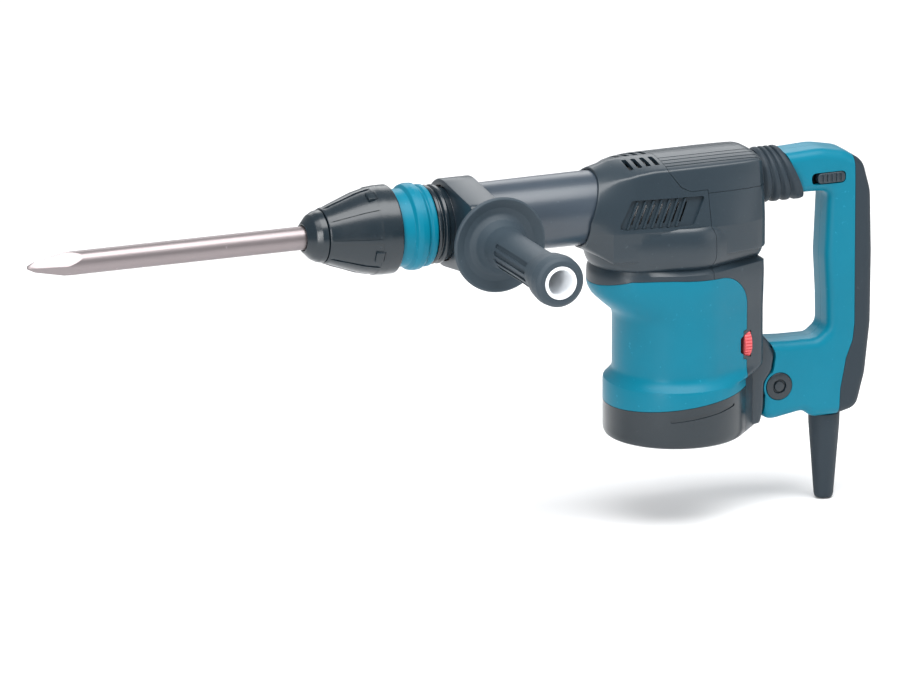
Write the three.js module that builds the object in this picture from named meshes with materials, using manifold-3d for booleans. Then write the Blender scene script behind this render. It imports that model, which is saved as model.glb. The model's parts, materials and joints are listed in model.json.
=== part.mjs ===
// Electric demolition hammer with a bull-point chisel, in millimetres.
// +Z is up, the chisel points to -X, and the operator's left side is -Y.
// The origin is the centre of the motor cap's flat underside.
import * as THREE from "three";
import { ConvexGeometry } from "three/addons/geometries/ConvexGeometry.js";
import { mergeVertices } from "three/addons/utils/BufferGeometryUtils.js";
import Module from "manifold-3d";

const wasm = await Module();
wasm.setup();

// Driving dimensions
const TOOL_Z = 185; // height of the chisel's axis
const NOSE_X = -306; // front of the dust cap
const SHANK_R = 9; // 18 mm chisel bar
const CHISEL_TIP_X = -528;
const CHISEL_END_X = -216;
const POINT_LENGTH = 46;
const HOLDER_BORE_R = 9.4;
const BARREL_R = 28.2;
const BARREL_BORE_R = 24;
const GRIP_X = -176; // axis of the side grip
const MOTOR_R = 48;
const CAP_R = 55;
const REAR_X = 64; // back face of the housings
const WALL = 3;
const GAP = 0.3;
const SEAM_X = 12; // joint between front and rear housing
const TOP_Z = 221;
const GEAR_MODULE = 1.25;
const PINION_TEETH = 8;
const GEAR_TEETH = 38;
const CRANK_X = (-GEAR_MODULE * (PINION_TEETH + GEAR_TEETH)) / 2;
const CRANK_THROW = 15;
const ROD_LENGTH = 58;
const PIVOT = [80, 31.5]; // rear handle pivot, X and Z
const HANDLE_HALF = 17;
const DAMPER_Z = 196;
const DIAL = { x: 46.6, width: 5.8, y: -24, z: 72.6, radius: 12 };
const GUARD_X = 125;

const ROUND = 24; // sides of the larger round parts
const SMALL_ROUND = 12;
const PLAN_STEPS = 20; // points round each corner circle of a housing outline

// ---------------------------------------------------------------- helpers

const X = new THREE.Vector3(1, 0, 0);
const Y = new THREE.Vector3(0, 1, 0);
const Z = new THREE.Vector3(0, 0, 1);
const minus = (v) => v.clone().negate();

// An outline is drawn in two coordinates and pushed along the third axis:
// "x" takes (y, z), "y" takes (x, z) and runs to -Y, "z" takes (x, y).
const PUSH = {
  x: new THREE.Matrix4().makeBasis(Y, Z, X),
  y: new THREE.Matrix4().makeBasis(X, Z, minus(Y)),
  z: new THREE.Matrix4(),
};
// A turned profile runs along this axis.
const SPIN = {
  x: new THREE.Matrix4().makeBasis(Z, X, Y),
  "-y": new THREE.Matrix4().makeBasis(X, minus(Y), minus(Z)),
  y: new THREE.Matrix4().makeBasis(Z.clone(), Y, minus(X)),
  z: new THREE.Matrix4().makeBasis(X, Z, minus(Y)),
};

// Turns a closed geometry into a solid, with its faces pointing out.
function solid(geometry) {
  const bare = geometry.index ? geometry.toNonIndexed() : geometry.clone();
  bare.deleteAttribute("normal");
  bare.deleteAttribute("uv");
  const merged = mergeVertices(bare, 1e-3);
  const triangles = [];
  for (let i = 0; i < merged.index.count; i += 3) {
    const [a, b, c] = [0, 1, 2].map((k) => merged.index.getX(i + k));
    if (a !== b && b !== c && c !== a) triangles.push(a, b, c);
  }
  const make = (order) =>
    new wasm.Manifold(
      new wasm.Mesh({
        numProp: 3,
        vertProperties: merged.attributes.position.array,
        triVerts: new Uint32Array(order),
      }),
    );
  const made = make(triangles);
  return made.volume() > 0 ? made : make(triangles.reverse());
}

function join(...parts) {
  return parts.reduce((whole, part) => whole.add(part));
}

function cut(whole, ...tools) {
  return tools.reduce((rest, tool) => rest.subtract(tool), whole);
}

// A solid of revolution: the profile is [place along the axis, radius] pairs.
function turned(profile, axis, [x, y, z], sides = ROUND) {
  const points = profile.map(([along, radius]) => new THREE.Vector2(radius, along));
  const geometry = new THREE.LatheGeometry(points, sides).applyMatrix4(SPIN[axis]);
  return solid(geometry.translate(x, y, z));
}

// A turned ring or tube from start to end between two radii.
function tube(start, end, inner, outer, axis, centre, sides = ROUND) {
  const ring = [
    [start, inner],
    [start, outer],
    [end, outer],
    [end, inner],
    [start, inner],
  ];
  return turned(ring, axis, centre, sides);
}

function rod(start, end, radius, axis, centre, sides = ROUND) {
  const profile = [
    [start, 0],
    [start, radius],
    [end, radius],
    [end, 0],
  ];
  return turned(profile, axis, centre, sides);
}

function outline(points) {
  return new THREE.Shape(points.map(([a, b]) => new THREE.Vector2(a, b)));
}

// Pushes an outline from one place to another along an axis.
function prism(points, axis, from, to, bevel = 0) {
  const settings = {
    depth: Math.abs(to - from) - 2 * bevel,
    bevelEnabled: bevel > 0,
    bevelThickness: bevel,
    bevelSize: bevel,
    bevelOffset: -bevel,
    bevelSegments: 2,
  };
  const geometry = new THREE.ExtrudeGeometry(outline(points), settings);
  const start = axis === "y" ? -Math.max(from, to) : Math.min(from, to);
  geometry.translate(0, 0, start + bevel).applyMatrix4(PUSH[axis]);
  return solid(geometry);
}

function box([x0, y0, z0], [x1, y1, z1]) {
  const geometry = new THREE.BoxGeometry(x1 - x0, y1 - y0, z1 - z0);
  return solid(geometry.translate((x0 + x1) / 2, (y0 + y1) / 2, (z0 + z1) / 2));
}

function arc(a, b, radius, from, to, steps) {
  const points = [];
  for (let i = 0; i <= steps; i++) {
    const angle = THREE.MathUtils.degToRad(from + ((to - from) * i) / steps);
    points.push([a + radius * Math.cos(angle), b + radius * Math.sin(angle)]);
  }
  return points;
}

// The outline of a band stretched round circles [a, b, radius].
function stretched(circles, steps = 20) {
  const cloud = circles.flatMap(([a, b, r]) => arc(a, b, r, 0, 360 - 360 / steps, steps - 1));
  cloud.sort((p, q) => p[0] - q[0] || p[1] - q[1]);
  const turn = (o, p, q) => (p[0] - o[0]) * (q[1] - o[1]) - (p[1] - o[1]) * (q[0] - o[0]);
  const half = (list) => {
    const chain = [];
    for (const point of list) {
      while (chain.length > 1 && turn(chain.at(-2), chain.at(-1), point) <= 1e-9) chain.pop();
      chain.push(point);
    }
    return chain.slice(0, -1);
  };
  return [...half(cloud), ...half([...cloud].reverse())];
}

// The convex body through level outlines [points, height].
function stacked(levels) {
  const points = levels.flatMap(([ring, z]) => ring.map(([x, y]) => new THREE.Vector3(x, y, z)));
  return solid(new ConvexGeometry(points));
}

function coilSpring(radius, wire, length, turns, axis, [x, y, z]) {
  const steps = turns * 8;
  class Coil extends THREE.Curve {
    getPoint(t, target = new THREE.Vector3()) {
      const angle = t * turns * 2 * Math.PI;
      return target.set(radius * Math.cos(angle), t * length, radius * Math.sin(angle));
    }
  }
  const section = outline(arc(0, 0, wire, 0, 270, 3));
  const geometry = new THREE.ExtrudeGeometry(section, { steps, extrudePath: new Coil() });
  return solid(geometry.applyMatrix4(SPIN[axis]).translate(x, y, z));
}

function gearOutline(teeth, module, phase = 0) {
  const pitch = (module * teeth) / 2;
  const points = [];
  const corners = [
    [-0.3, pitch - module * 1.2],
    [-0.12, pitch + module * 0.85],
    [0.12, pitch + module * 0.85],
    [0.3, pitch - module * 1.2],
  ];
  for (let tooth = 0; tooth < teeth; tooth++)
    for (const [part, radius] of corners) {
      const angle = ((tooth + part + phase) * 2 * Math.PI) / teeth;
      points.push([radius * Math.cos(angle), radius * Math.sin(angle)]);
    }
  return points;
}

// ---------------------------------------------------------------- finishes

function finish(color, roughness, metalness) {
  return { color, roughness, metalness };
}
const TEAL = finish(0x007c96, 0.42, 0);
const BLACK = finish(0x3c4850, 0.5, 0);
const RUBBER = finish(0x3f4a50, 0.75, 0);
const STEEL = finish(0xb9aca6, 0.35, 1);
const DARK_STEEL = finish(0x6f7276, 0.4, 1);
const ALLOY = finish(0x9a9da0, 0.5, 1);
const WHITE = finish(0xe9ebec, 0.5, 0);
const COPPER = finish(0xb3673a, 0.35, 1);
const RED = finish(0xc84f4f, 0.5, 0);
const CARBON = finish(0x2a2a2c, 0.9, 0);

const hammer = new THREE.Group();
const onAxis = [0, 0, TOOL_Z];

function add(name, shape, look) {
  const data = shape.getMesh();
  const corners = new Float32Array(data.numVert * 3);
  for (let i = 0; i < data.numVert; i++) {
    const start = i * data.numProp;
    corners.set(data.vertProperties.subarray(start, start + 3), i * 3);
  }
  const geometry = new THREE.BufferGeometry();
  geometry.setAttribute("position", new THREE.BufferAttribute(corners, 3));
  geometry.setIndex(new THREE.BufferAttribute(data.triVerts, 1));
  geometry.computeVertexNormals();
  const mesh = new THREE.Mesh(geometry, new THREE.MeshStandardMaterial(look));
  mesh.name = name;
  hammer.add(mesh);
}

// ---------------------------------------------------------------- chisel and tool holder

function chisel() {
  const flatHalf = SHANK_R * 1.45;
  const bar = rod(CHISEL_TIP_X, CHISEL_END_X, SHANK_R, "x", onAxis, 24);
  const pointStart = CHISEL_TIP_X + POINT_LENGTH;
  const tip = new THREE.CylinderGeometry(flatHalf, 1.4, POINT_LENGTH, 4);
  tip.applyMatrix4(SPIN.x).rotateX(Math.PI / 4);
  tip.translate(CHISEL_TIP_X + POINT_LENGTH / 2, 0, TOOL_Z);
  const rest = box([pointStart, -20, TOOL_Z - 20], [CHISEL_END_X, 20, TOOL_Z + 20]);
  const grooves = [1, -1].map((side) => {
    const near = TOOL_Z + side * 6.1;
    const far = TOOL_Z + side * 12;
    return box([-267.6, -3.7, Math.min(near, far)], [-242.4, 3.7, Math.max(near, far)]);
  });
  return cut(bar.intersect(join(solid(tip), rest)), ...grooves);
}

const ROLLER = { x: -261, length: 12, radius: 3.2, height: 9.6 };

function toolHolder() {
  const profile = [
    [-294, HOLDER_BORE_R],
    [-294, 16],
    [-236, 16],
    [-236, 20.4],
    [-196.5, 20.4],
    [-196.5, 18],
    [-168, 18],
    [-168, 12.6],
    [-192, 12.6],
    [-192, HOLDER_BORE_R],
    [-294, HOLDER_BORE_R],
  ];
  const from = ROLLER.x - ROLLER.length / 2 - 0.5;
  const to = ROLLER.x + ROLLER.length / 2 + 0.5;
  const slot = (low, high) => box([from, -3.6, low], [to, 3.6, high]);
  return cut(
    turned(profile, "x", onAxis),
    slot(TOOL_Z + 7, TOOL_Z + 20),
    slot(TOOL_Z - 20, TOOL_Z - 7),
  );
}

function lockingRoller(side) {
  const { x, length, radius, height } = ROLLER;
  const centre = [x, 0, TOOL_Z + side * height];
  return rod(-length / 2, length / 2, radius, "x", centre, 12);
}

function noseCap() {
  const profile = [
    [NOSE_X, HOLDER_BORE_R + 0.2],
    [NOSE_X, 11],
    [-302, 15.5],
    [-296, 19],
    [-291.4, 20.4],
    [-291.4, 16.4],
    [-295, 16.4],
    [-295, HOLDER_BORE_R + 0.2],
    [NOSE_X, HOLDER_BORE_R + 0.2],
  ];
  return turned(profile, "x", onAxis);
}

function releaseCover() {
  const profile = [
    [-291, 16.5],
    [-291, 20.8],
    [-282, 24.6],
    [-274, 27.1],
    [-264.5, 30.8],
    [-255, 33.3],
    [-246, 34],
    [-237, 34],
    [-236, 33.3],
    [-236, 30.3],
    [-253, 30.3],
    [-262, 27.4],
    [-274, 24],
    [-284, 20.4],
    [-284, 16.5],
    [-291, 16.5],
  ];
  return turned(profile, "x", onAxis);
}

function coverSpring() {
  return coilSpring(18.6, 1.1, 38, 4, "x", [-277.5, 0, TOOL_Z]);
}

function changeRing() {
  const profile = [
    [-238, 20.8],
    [-238, 29.6],
    [-225, 29.6],
    [-223.5, 32.2],
    [-220, 33.3],
    [-215, 33],
    [-213, 30],
    [-210.5, 31.3],
    [-206.8, 31],
    [-206.8, 20.8],
    [-238, 20.8],
  ];
  return turned(profile, "x", onAxis);
}

// ---------------------------------------------------------------- barrel and side handle

function barrelRing() {
  const profile = [
    [-206, 20.8],
    [-206, 29.8],
    [-203.5, 30.6],
    [-202, 28.4],
    [-200, 30],
    [-197.5, 30],
    [-196, 28],
    [-192.4, 28],
    [-192.4, BARREL_BORE_R],
    [-196, 20.8],
    [-206, 20.8],
  ];
  return turned(profile, "x", onAxis);
}

function barrel() {
  const profile = [
    [-192, 18.4],
    [-192, 27],
    [-166.2, 27],
    [-166.2, BARREL_R - 0.6],
    [-68, BARREL_R],
    [-68, BARREL_BORE_R],
    [-170, BARREL_BORE_R],
    [-186, 18.4],
    [-192, 18.4],
  ];
  return turned(profile, "x", onAxis);
}

const CLAMP = { from: -192, to: -166.5, reach: -58 };

function clampBlock() {
  const circles = [
    [0, TOOL_Z, 33.8],
    [CLAMP.reach + 6, TOOL_Z + 19, 6],
    [CLAMP.reach + 6, TOOL_Z - 19, 6],
  ];
  const body = prism(stretched(circles, 28), "x", CLAMP.from, CLAMP.to);
  const hub = rod(-CLAMP.reach - 12, -CLAMP.reach, 14, "-y", [GRIP_X, 0, TOOL_Z], 20);
  const seat = rod(CLAMP.from - 1, CLAMP.to + 12, 29.1, "x", onAxis);
  const earRoom = box([-187.6, -46, TOOL_Z - 8.4], [-168.4, -20, TOOL_Z + 8.4]);
  const boltRoom = rod(30, 62, 5.6, "-y", [GRIP_X, 0, TOOL_Z], SMALL_ROUND);
  return cut(join(body, hub), seat, earRoom, boltRoom);
}

function clampBand() {
  const ring = tube(-188, -169.5, 27.3, 28.8, "x", onAxis);
  const ear = box([-187, -45, TOOL_Z - 8], [-169, -27.9, TOOL_Z + 8]);
  const thread = rod(25, 50, 5.3, "-y", [GRIP_X, 0, TOOL_Z], SMALL_ROUND);
  return cut(join(ring, ear), thread, rod(-200, -160, 27.3, "x", onAxis));
}

function sideGrip() {
  const profile = [
    [60, 5.6],
    [60, 16],
    [65, 25],
    [71, 33],
    [73, 36.6],
    [75.4, 37],
    [76.4, 36],
    [73.5, 28],
    [72, 23],
    [75, 19],
    [84, 16],
    [110, 15],
    [160, 15.4],
    [172, 18.4],
    [182, 19.8],
    [190, 19.2],
    [193, 17],
    [193, 12.9],
    [98, 12.9],
    [98, 5.6],
    [60, 5.6],
  ];
  return turned(profile, "-y", [GRIP_X, 0, TOOL_Z], ROUND);
}

function gripCore() {
  const profile = [
    [98.4, 5.6],
    [98.4, 12.6],
    [193.4, 12.6],
    [193.4, 10.2],
    [101.4, 10.2],
    [101.4, 5.6],
    [98.4, 5.6],
  ];
  return turned(profile, "-y", [GRIP_X, 0, TOOL_Z], 24);
}

function gripBolt() {
  const centre = [GRIP_X, 0, TOOL_Z];
  return join(
    rod(33, 106, 5, "-y", centre, SMALL_ROUND),
    rod(101.8, 108, 8.6, "-y", centre, 6),
  );
}

// ---------------------------------------------------------------- hammer mechanism

function impactBolt() {
  const profile = [
    [-215.5, 0],
    [-215.5, SHANK_R],
    [-190, SHANK_R],
    [-188, 12.2],
    [-178, 12.2],
    [-176, 9],
    [-166, 9],
    [-166, 0],
  ];
  return turned(profile, "x", onAxis, SMALL_ROUND);
}

function striker() {
  const profile = [
    [-160, 0],
    [-160, 8],
    [-148, 8],
    [-147, 17.4],
    [-126, 17.4],
    [-126, 0],
  ];
  return turned(profile, "x", onAxis, 20);
}

function cylinder() {
  const profile = [
    [-164, 17.8],
    [-164, 23.6],
    [-158, 23.6],
    [-158, 20.2],
    [-66, 20.2],
    [-66, 22.4],
    [-60, 22.4],
    [-60, 17.8],
    [-164, 17.8],
  ];
  return turned(profile, "x", onAxis, 24);
}

const CRANK_PIN_X = CRANK_X - CRANK_THROW;
const WRIST_X = CRANK_PIN_X - ROD_LENGTH;

function piston() {
  const body = rod(WRIST_X - 14, WRIST_X + 14, 17.4, "x", onAxis, 20);
  const slot = box([WRIST_X - 9, -9, TOOL_Z - 7.5], [WRIST_X + 15, 9, TOOL_Z + 7.5]);
  const hole = rod(TOOL_Z - 20, TOOL_Z + 20, 4.6, "z", [WRIST_X, 0, 0], SMALL_ROUND);
  return cut(body, slot, hole);
}

function wristPin() {
  return rod(TOOL_Z - 15, TOOL_Z + 15, 4.3, "z", [WRIST_X, 0, 0], SMALL_ROUND);
}

function connectingRod() {
  const ends = [
    [WRIST_X, 0, 7.4],
    [CRANK_PIN_X, 0, 8.5],
  ].map(([x, y, r]) => rod(TOOL_Z - 6.5, TOOL_Z + 6.5, r, "z", [x, y, 0], SMALL_ROUND));
  const bar = box([WRIST_X, -4.5, TOOL_Z - 4], [CRANK_PIN_X, 4.5, TOOL_Z + 4]);
  const smallHole = rod(TOOL_Z - 20, TOOL_Z + 20, 4.6, "z", [WRIST_X, 0, 0], SMALL_ROUND);
  const bigHole = rod(TOOL_Z - 20, TOOL_Z + 20, 5.4, "z", [CRANK_PIN_X, 0, 0], SMALL_ROUND);
  return cut(join(...ends, bar), smallHole, bigHole);
}

function crankShaft() {
  const profile = [
    [118.8, 0],
    [118.8, 7],
    [159, 7],
    [160, 20],
    [168, 20],
    [168, 0],
  ];
  const pin = rod(166, 178.1, 5, "z", [CRANK_PIN_X, 0, 0], SMALL_ROUND);
  return join(turned(profile, "z", [CRANK_X, 0, 0], 20), pin);
}

function crankGear() {
  const phase = 0.5; // a gap faces the pinion's tooth
  const teeth = prism(gearOutline(GEAR_TEETH, GEAR_MODULE, phase), "z", 122.5, 133.5);
  const placed = teeth.translate([CRANK_X, 0, 0]);
  return cut(placed, rod(120, 136, 7.3, "z", [CRANK_X, 0, 0], SMALL_ROUND));
}

function crankBearing(low, high, outer) {
  return tube(low, high, 7.3, outer, "z", [CRANK_X, 0, 0], 18);
}

function crankCase() {
  const gearPlan = (wall) => stretched([[CRANK_X, 0, 26.3 + wall], [0, 0, 11.5 + wall]]);
  const outer = join(
    prism(gearPlan(2.5), "z", 116, 147),
    box([-58, -24, 147], [2, 24, 206]),
    box([-53, -24, 140], [2, 24, 148]),
  );
  const gearRoom = prism(gearPlan(0), "z", 118.5, 136);
  const crankRoom = box([-55, -21, 144], [-1, 21, 203]);
  const mouth = rod(-80, -50, 22.8, "x", onAxis, 24);
  const webHole = rod(130, 150, 15.4, "z", [CRANK_X, 0, 0], 20);
  const floorHole = rod(110, 120, 6.3, "z", [0, 0, 0], SMALL_ROUND);
  return cut(outer, gearRoom, crankRoom, mouth, webHole, floorHole);
}

// ---------------------------------------------------------------- motor

function armatureShaft() {
  const shaft = rod(10, 121, 5, "z", [0, 0, 0], SMALL_ROUND);
  return join(shaft, prism(gearOutline(PINION_TEETH, GEAR_MODULE), "z", 119, 135));
}

function armatureCore() {
  const slots = 12;
  const points = [];
  for (let i = 0; i < slots; i++) {
    const start = (360 / slots) * i;
    points.push(...arc(0, 0, 21.5, start + 4, start + 26, 2));
    points.push(...arc(0, 0, 17, start + 27, start + 33, 1));
  }
  return cut(
    prism(points, "z", 42, 88),
    rod(40, 90, 5.3, "z", [0, 0, 0], SMALL_ROUND),
  );
}

function commutator() {
  return tube(24, 38, 5.3, 12, "z", [0, 0, 0], 20);
}

function fan() {
  const plate = tube(92, 94, 5.3, 36, "z", [0, 0, 0], 24);
  const hub = tube(92, 102, 5.3, 9, "z", [0, 0, 0], 24);
  const blades = [];
  for (let i = 0; i < 8; i++) {
    const blade = box([8, -0.8, 93], [35, 0.8, 102]);
    blades.push(blade.rotate([0, 0, 45 * i + 10]));
  }
  return join(plate, hub, ...blades);
}

function armatureBearing(low, high) {
  return tube(low, high, 5.3, 11, "z", [0, 0, 0], 18);
}

function fieldStator() {
  const yoke = tube(44, 86, 33, 40, "z", [0, 0, 0], 24);
  const poles = [-1, 1].map((side) =>
    box(
      [-16, Math.min(side * 22, side * 35), 44],
      [16, Math.max(side * 22, side * 35), 86],
    ),
  );
  return cut(join(yoke, ...poles), rod(40, 90, 23, "z", [0, 0, 0], 24));
}

function brush(side) {
  const near = side * 12.6;
  const far = side * 27;
  return box([-3, Math.min(near, far), 26], [3, Math.max(near, far), 36]);
}

function brushHolder(side) {
  const span = (a, b) => [Math.min(side * a, side * b), Math.max(side * a, side * b)];
  const [low, high] = span(15, 34);
  const [roomLow, roomHigh] = span(14, 30);
  return cut(
    box([-5.5, low, 23.5], [5.5, high, 38.5]),
    box([-3.4, roomLow, 25.6], [3.4, roomHigh, 36.4]),
  );
}

// ---------------------------------------------------------------- housings

// Each outline is drawn inset by a wall thickness, or by 0 for the outside.
const rearCorners = (half, inset) => [
  [REAR_X - 8, half, 8 - inset],
  [REAR_X - 8, -half, 8 - inset],
];
const plan = (...circles) => stretched(circles, PLAN_STEPS);
const motorPlan = (inset) => plan([0, 0, MOTOR_R - inset], ...rearCorners(20, inset));
const beltPlan = (inset) =>
  plan([-31, 0, 42 - inset], [0, 0, 48.5 - inset], ...rearCorners(21, inset));
const neckPlan = (inset) =>
  plan([-31, 0, 37.5 - inset], [0, 0, MOTOR_R - inset], ...rearCorners(20, inset));
function capPlan(inset) {
  const waist = [24, -24].map((y) => [44, y, 6 - Math.min(inset, 5.5)]);
  return plan([0, 0, CAP_R - inset], ...waist, ...rearCorners(8, Math.min(inset, 7.5)));
}

function upperBody(inset) {
  const section = (x, shrink, z) =>
    [
      [30 - shrink, 216],
      [15, 220.2],
      [36 + z - shrink, 172],
      [36 + z - shrink, 146],
    ].flatMap(([y, height]) => [
      new THREE.Vector3(x, y, height - (height > 200 ? shrink : 0)),
      new THREE.Vector3(x, -y, height - (height > 200 ? shrink : 0)),
    ]);
  const ring = arc(0, 0, 30 - inset, 0, 330, 11).map(([a, b]) => {
    const lean = 13 * (1 - a / 30) * 0.5;
    return new THREE.Vector3(-69 - Math.min(lean, 6) * 1.4 + inset, b, TOOL_Z + a);
  });
  const crest = [-52 + inset, REAR_X - inset].map((x) => new THREE.Vector3(x, 0, TOP_Z - inset));
  const points = [
    ...ring,
    ...crest,
    ...section(-52 + inset, inset, 0),
    ...section(-15, inset, 8),
    ...section(20, inset, 8),
    ...section(REAR_X - inset, inset + 5, 0),
  ];
  return solid(new ConvexGeometry(points));
}

function housingBody(inset) {
  return join(
    stacked([
      [capPlan(inset + 4), inset],
      [capPlan(inset), inset + 4],
      [capPlan(inset), 33],
      [motorPlan(inset), 47],
    ]),
    stacked([
      [motorPlan(inset), 20],
      [motorPlan(inset), 134],
    ]),
    stacked([
      [motorPlan(inset), 101],
      [neckPlan(inset), 124],
      [neckPlan(inset), 136],
    ]),
    stacked([
      [beltPlan(inset + 5), 134],
      [beltPlan(inset), 141],
      [beltPlan(inset), 168],
      [beltPlan(inset + 5), 174],
    ]),
    upperBody(inset),
  );
}

function handleLobe() {
  const lobe = [
    [56, 78],
    [66, 74],
    [72.5, 66],
    [76.5, 54],
    [74, 44],
    [68, 34],
    [68, 14],
    [65, 3],
    [56, 3],
  ];
  const eyeRoom = 13.6;
  const [px, pz] = PIVOT;
  const sides = [-1, 1].map((side) =>
    rod(
      Math.min(side * 7.6, side * 30),
      Math.max(side * 7.6, side * 30),
      eyeRoom,
      "y",
      [px, 0, pz],
      24,
    ),
  );
  const lug = prism(stretched([[px, pz, 11], [58, 24, 6], [58, 44, 6]], 20), "y", -7.4, 7.4);
  return join(cut(prism(lobe, "y", -19, 19), ...sides), lug);
}

// Side outlines (X, Z) of the parts that the housing body divides into.
const capTop = (x, gap = 0) => 34 + 0.12 * x + gap;
const FAR = 130;
const tealRegion = [
  [-FAR, capTop(-FAR, GAP)],
  [DIAL.x - 0.9, capTop(DIAL.x - 0.9, GAP)],
  [DIAL.x - 0.9, 60.4],
  [DIAL.x - 4.1, 61.4],
  [DIAL.x - 4.1, 83.8],
  [DIAL.x - 0.9, 84.8],
  ...arc(18, 103, 27.7, 0, 90, 6),
  [-50, 131],
  [-64, 128],
  [-FAR, 108],
];
const capRegion = [
  [-FAR, -10],
  [DIAL.x - 0.9, -10],
  [DIAL.x - 0.9, capTop(DIAL.x - 0.9)],
  [-FAR, capTop(-FAR)],
];
const topRegion = [
  [-18.5, 240],
  [-18.5, 215],
  [-10, 203],
  [-4, 198.6],
  [SEAM_X, 198.6],
  [SEAM_X, 196.3],
  [FAR, 196.3],
  [FAR, 240],
];
const frontRegion = [
  [-FAR, 100],
  [SEAM_X - GAP, 100],
  [SEAM_X - GAP, 240],
  [-FAR, 240],
];
const wide = (points) => prism(points, "y", -90, 90);

function housings() {
  const shell = cut(housingBody(0), housingBody(WALL));
  const teal = wide(tealRegion);
  const tealGap = join(teal, teal.translate([GAP, 0, GAP]), teal.translate([-GAP, 0, GAP]));
  const top = wide(topRegion);
  const topGap = join(top, top.translate([-GAP, 0, -GAP]), top.translate([-GAP, 0, 0]));
  const cap = wide(capRegion);
  const capGap = join(cap, cap.translate([GAP, 0, GAP]));
  const front = wide(frontRegion);
  const frontGap = join(front, front.translate([GAP, 0, 0]));
  return { shell, teal, tealGap, top, topGap, cap, capGap, front, frontGap };
}

const regions = housings();

function frontHousing() {
  const { shell, front, tealGap, topGap } = regions;
  const barrelHole = rod(-120, -62, BARREL_R + 0.5, "x", onAxis);
  const vents = [0, 1, 2, 3].map((i) =>
    box([-50 + 8 * i, -22, 205], [-46.5 + 8 * i, -4, 230]),
  );
  const louvres = [-1, 1].flatMap((side) =>
    [0, 1, 2, 3, 4].map((i) =>
      box(
        [-46 + 9 * i, Math.min(side * 20, side * 60), 176],
        [-42 + 9 * i, Math.max(side * 20, side * 60), 192],
      ),
    ),
  );
  return cut(shell.intersect(front), tealGap, topGap, barrelHole, ...vents, ...louvres);
}

function topRearCover() {
  const hole = rod(50, 80, 11, "x", [0, 0, DAMPER_Z], 20);
  const { shell, top } = regions;
  return cut(shell.intersect(top), hole);
}

function rearHousing() {
  const { shell, frontGap, tealGap, topGap, capGap } = regions;
  const hole = rod(50, 80, 11, "x", [0, 0, DAMPER_Z], 20);
  const back = cut(
    shell,
    frontGap,
    tealGap,
    topGap,
    capGap,
    wide([
      [-FAR, -20],
      [SEAM_X, -20],
      [SEAM_X, 240],
      [-FAR, 240],
    ]),
  );
  const { x, width, y, z, radius } = DIAL;
  const dialRoom = rod(x - 4, x + width + 0.5, radius + 0.6, "x", [0, y, z], 24);
  const lobe = cut(handleLobe(), housingBody(WALL));
  const boltHole = rod(-30, 30, 4.4, "y", [PIVOT[0], 0, PIVOT[1]], SMALL_ROUND);
  return cut(join(back, lobe), dialRoom, boltHole, hole);
}

function motorHousing() {
  const { shell, teal } = regions;
  const { x, width, y, z, radius } = DIAL;
  const dialRoom = rod(x - 4, x + width + 0.5, radius + 0.6, "x", [0, y, z], 24);
  return cut(shell.intersect(teal), dialRoom);
}

const CAP_SCREWS = [
  [-36, -26],
  [-36, 26],
  [32, -28],
  [32, 28],
];

function motorCap() {
  const { shell, cap } = regions;
  const holes = CAP_SCREWS.map(([x, y]) => rod(-2, 6, 3.9, "z", [x, y, 0], SMALL_ROUND));
  return cut(shell.intersect(cap), ...holes);
}

function capScrew([x, y]) {
  const head = rod(0.4, 4, 3.5, "z", [x, y, 0], 12);
  const shank = rod(3, 16, 1.9, "z", [x, y, 0], 8);
  return cut(join(head, shank), rod(-1, 2.4, 1.7, "z", [x, y, 0], 6));
}

function speedDial() {
  const { x, width, y, z, radius } = DIAL;
  const ridges = [];
  for (let i = 0; i < 24; i++) {
    ridges.push(...arc(y, z, radius, i * 15, i * 15 + 7, 1));
    ridges.push(...arc(y, z, radius - 0.8, i * 15 + 8, i * 15 + 14, 1));
  }
  return cut(
    prism(ridges, "x", x - 3, x - 3 + width),
    rod(x - 10, x + 10, 2.4, "x", [0, y, z], 12),
  );
}

function speedController() {
  const { x, y, z } = DIAL;
  return join(
    box([52, -24, 60], [58.5, 6, 86]),
    rod(x - 3, 54, 2, "x", [0, y, z], 12),
  );
}

// ---------------------------------------------------------------- rear handle

const handleOutline = [
  [87, 213.6],
  [115, 215],
  [135, 210.5],
  [147, 203],
  [155, 190],
  [158, 170],
  [159, 140],
  [158.5, 100],
  [157, 60],
  [153, 35],
  [145, 10],
  [137, 3],
  [108, 3],
  [103, 11],
  [73, 7],
  [69.5, 16],
  ...arc(PIVOT[0], PIVOT[1], 12.7, 215, 140, 5),
  [75, 43.5],
  [78.4, 54],
  [74.6, 65.5],
  [84, 65.5],
  [112, 65],
  [119, 70],
  [121.5, 82],
  [120.5, 120],
  [121, 150],
  [122, 174],
  [117, 180.6],
  [101.5, 181.6],
];
const stripFront = [
  [141, 230],
  [142.5, 190],
  [142.5, 75],
  [141, 62],
  [135.3, 48],
  [130.8, 23],
  [129, -10],
];
const handleRooms = [
  [
    [98, 184.5],
    [148, 184.5],
    [148, 197],
    [98, 208],
  ],
  [
    [125, 50],
    [139, 50],
    [139, 195],
    [125, 195],
  ],
  [
    [96, 16],
    [135, 16],
    [139, 60],
    [96, 60],
  ],
];

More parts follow.
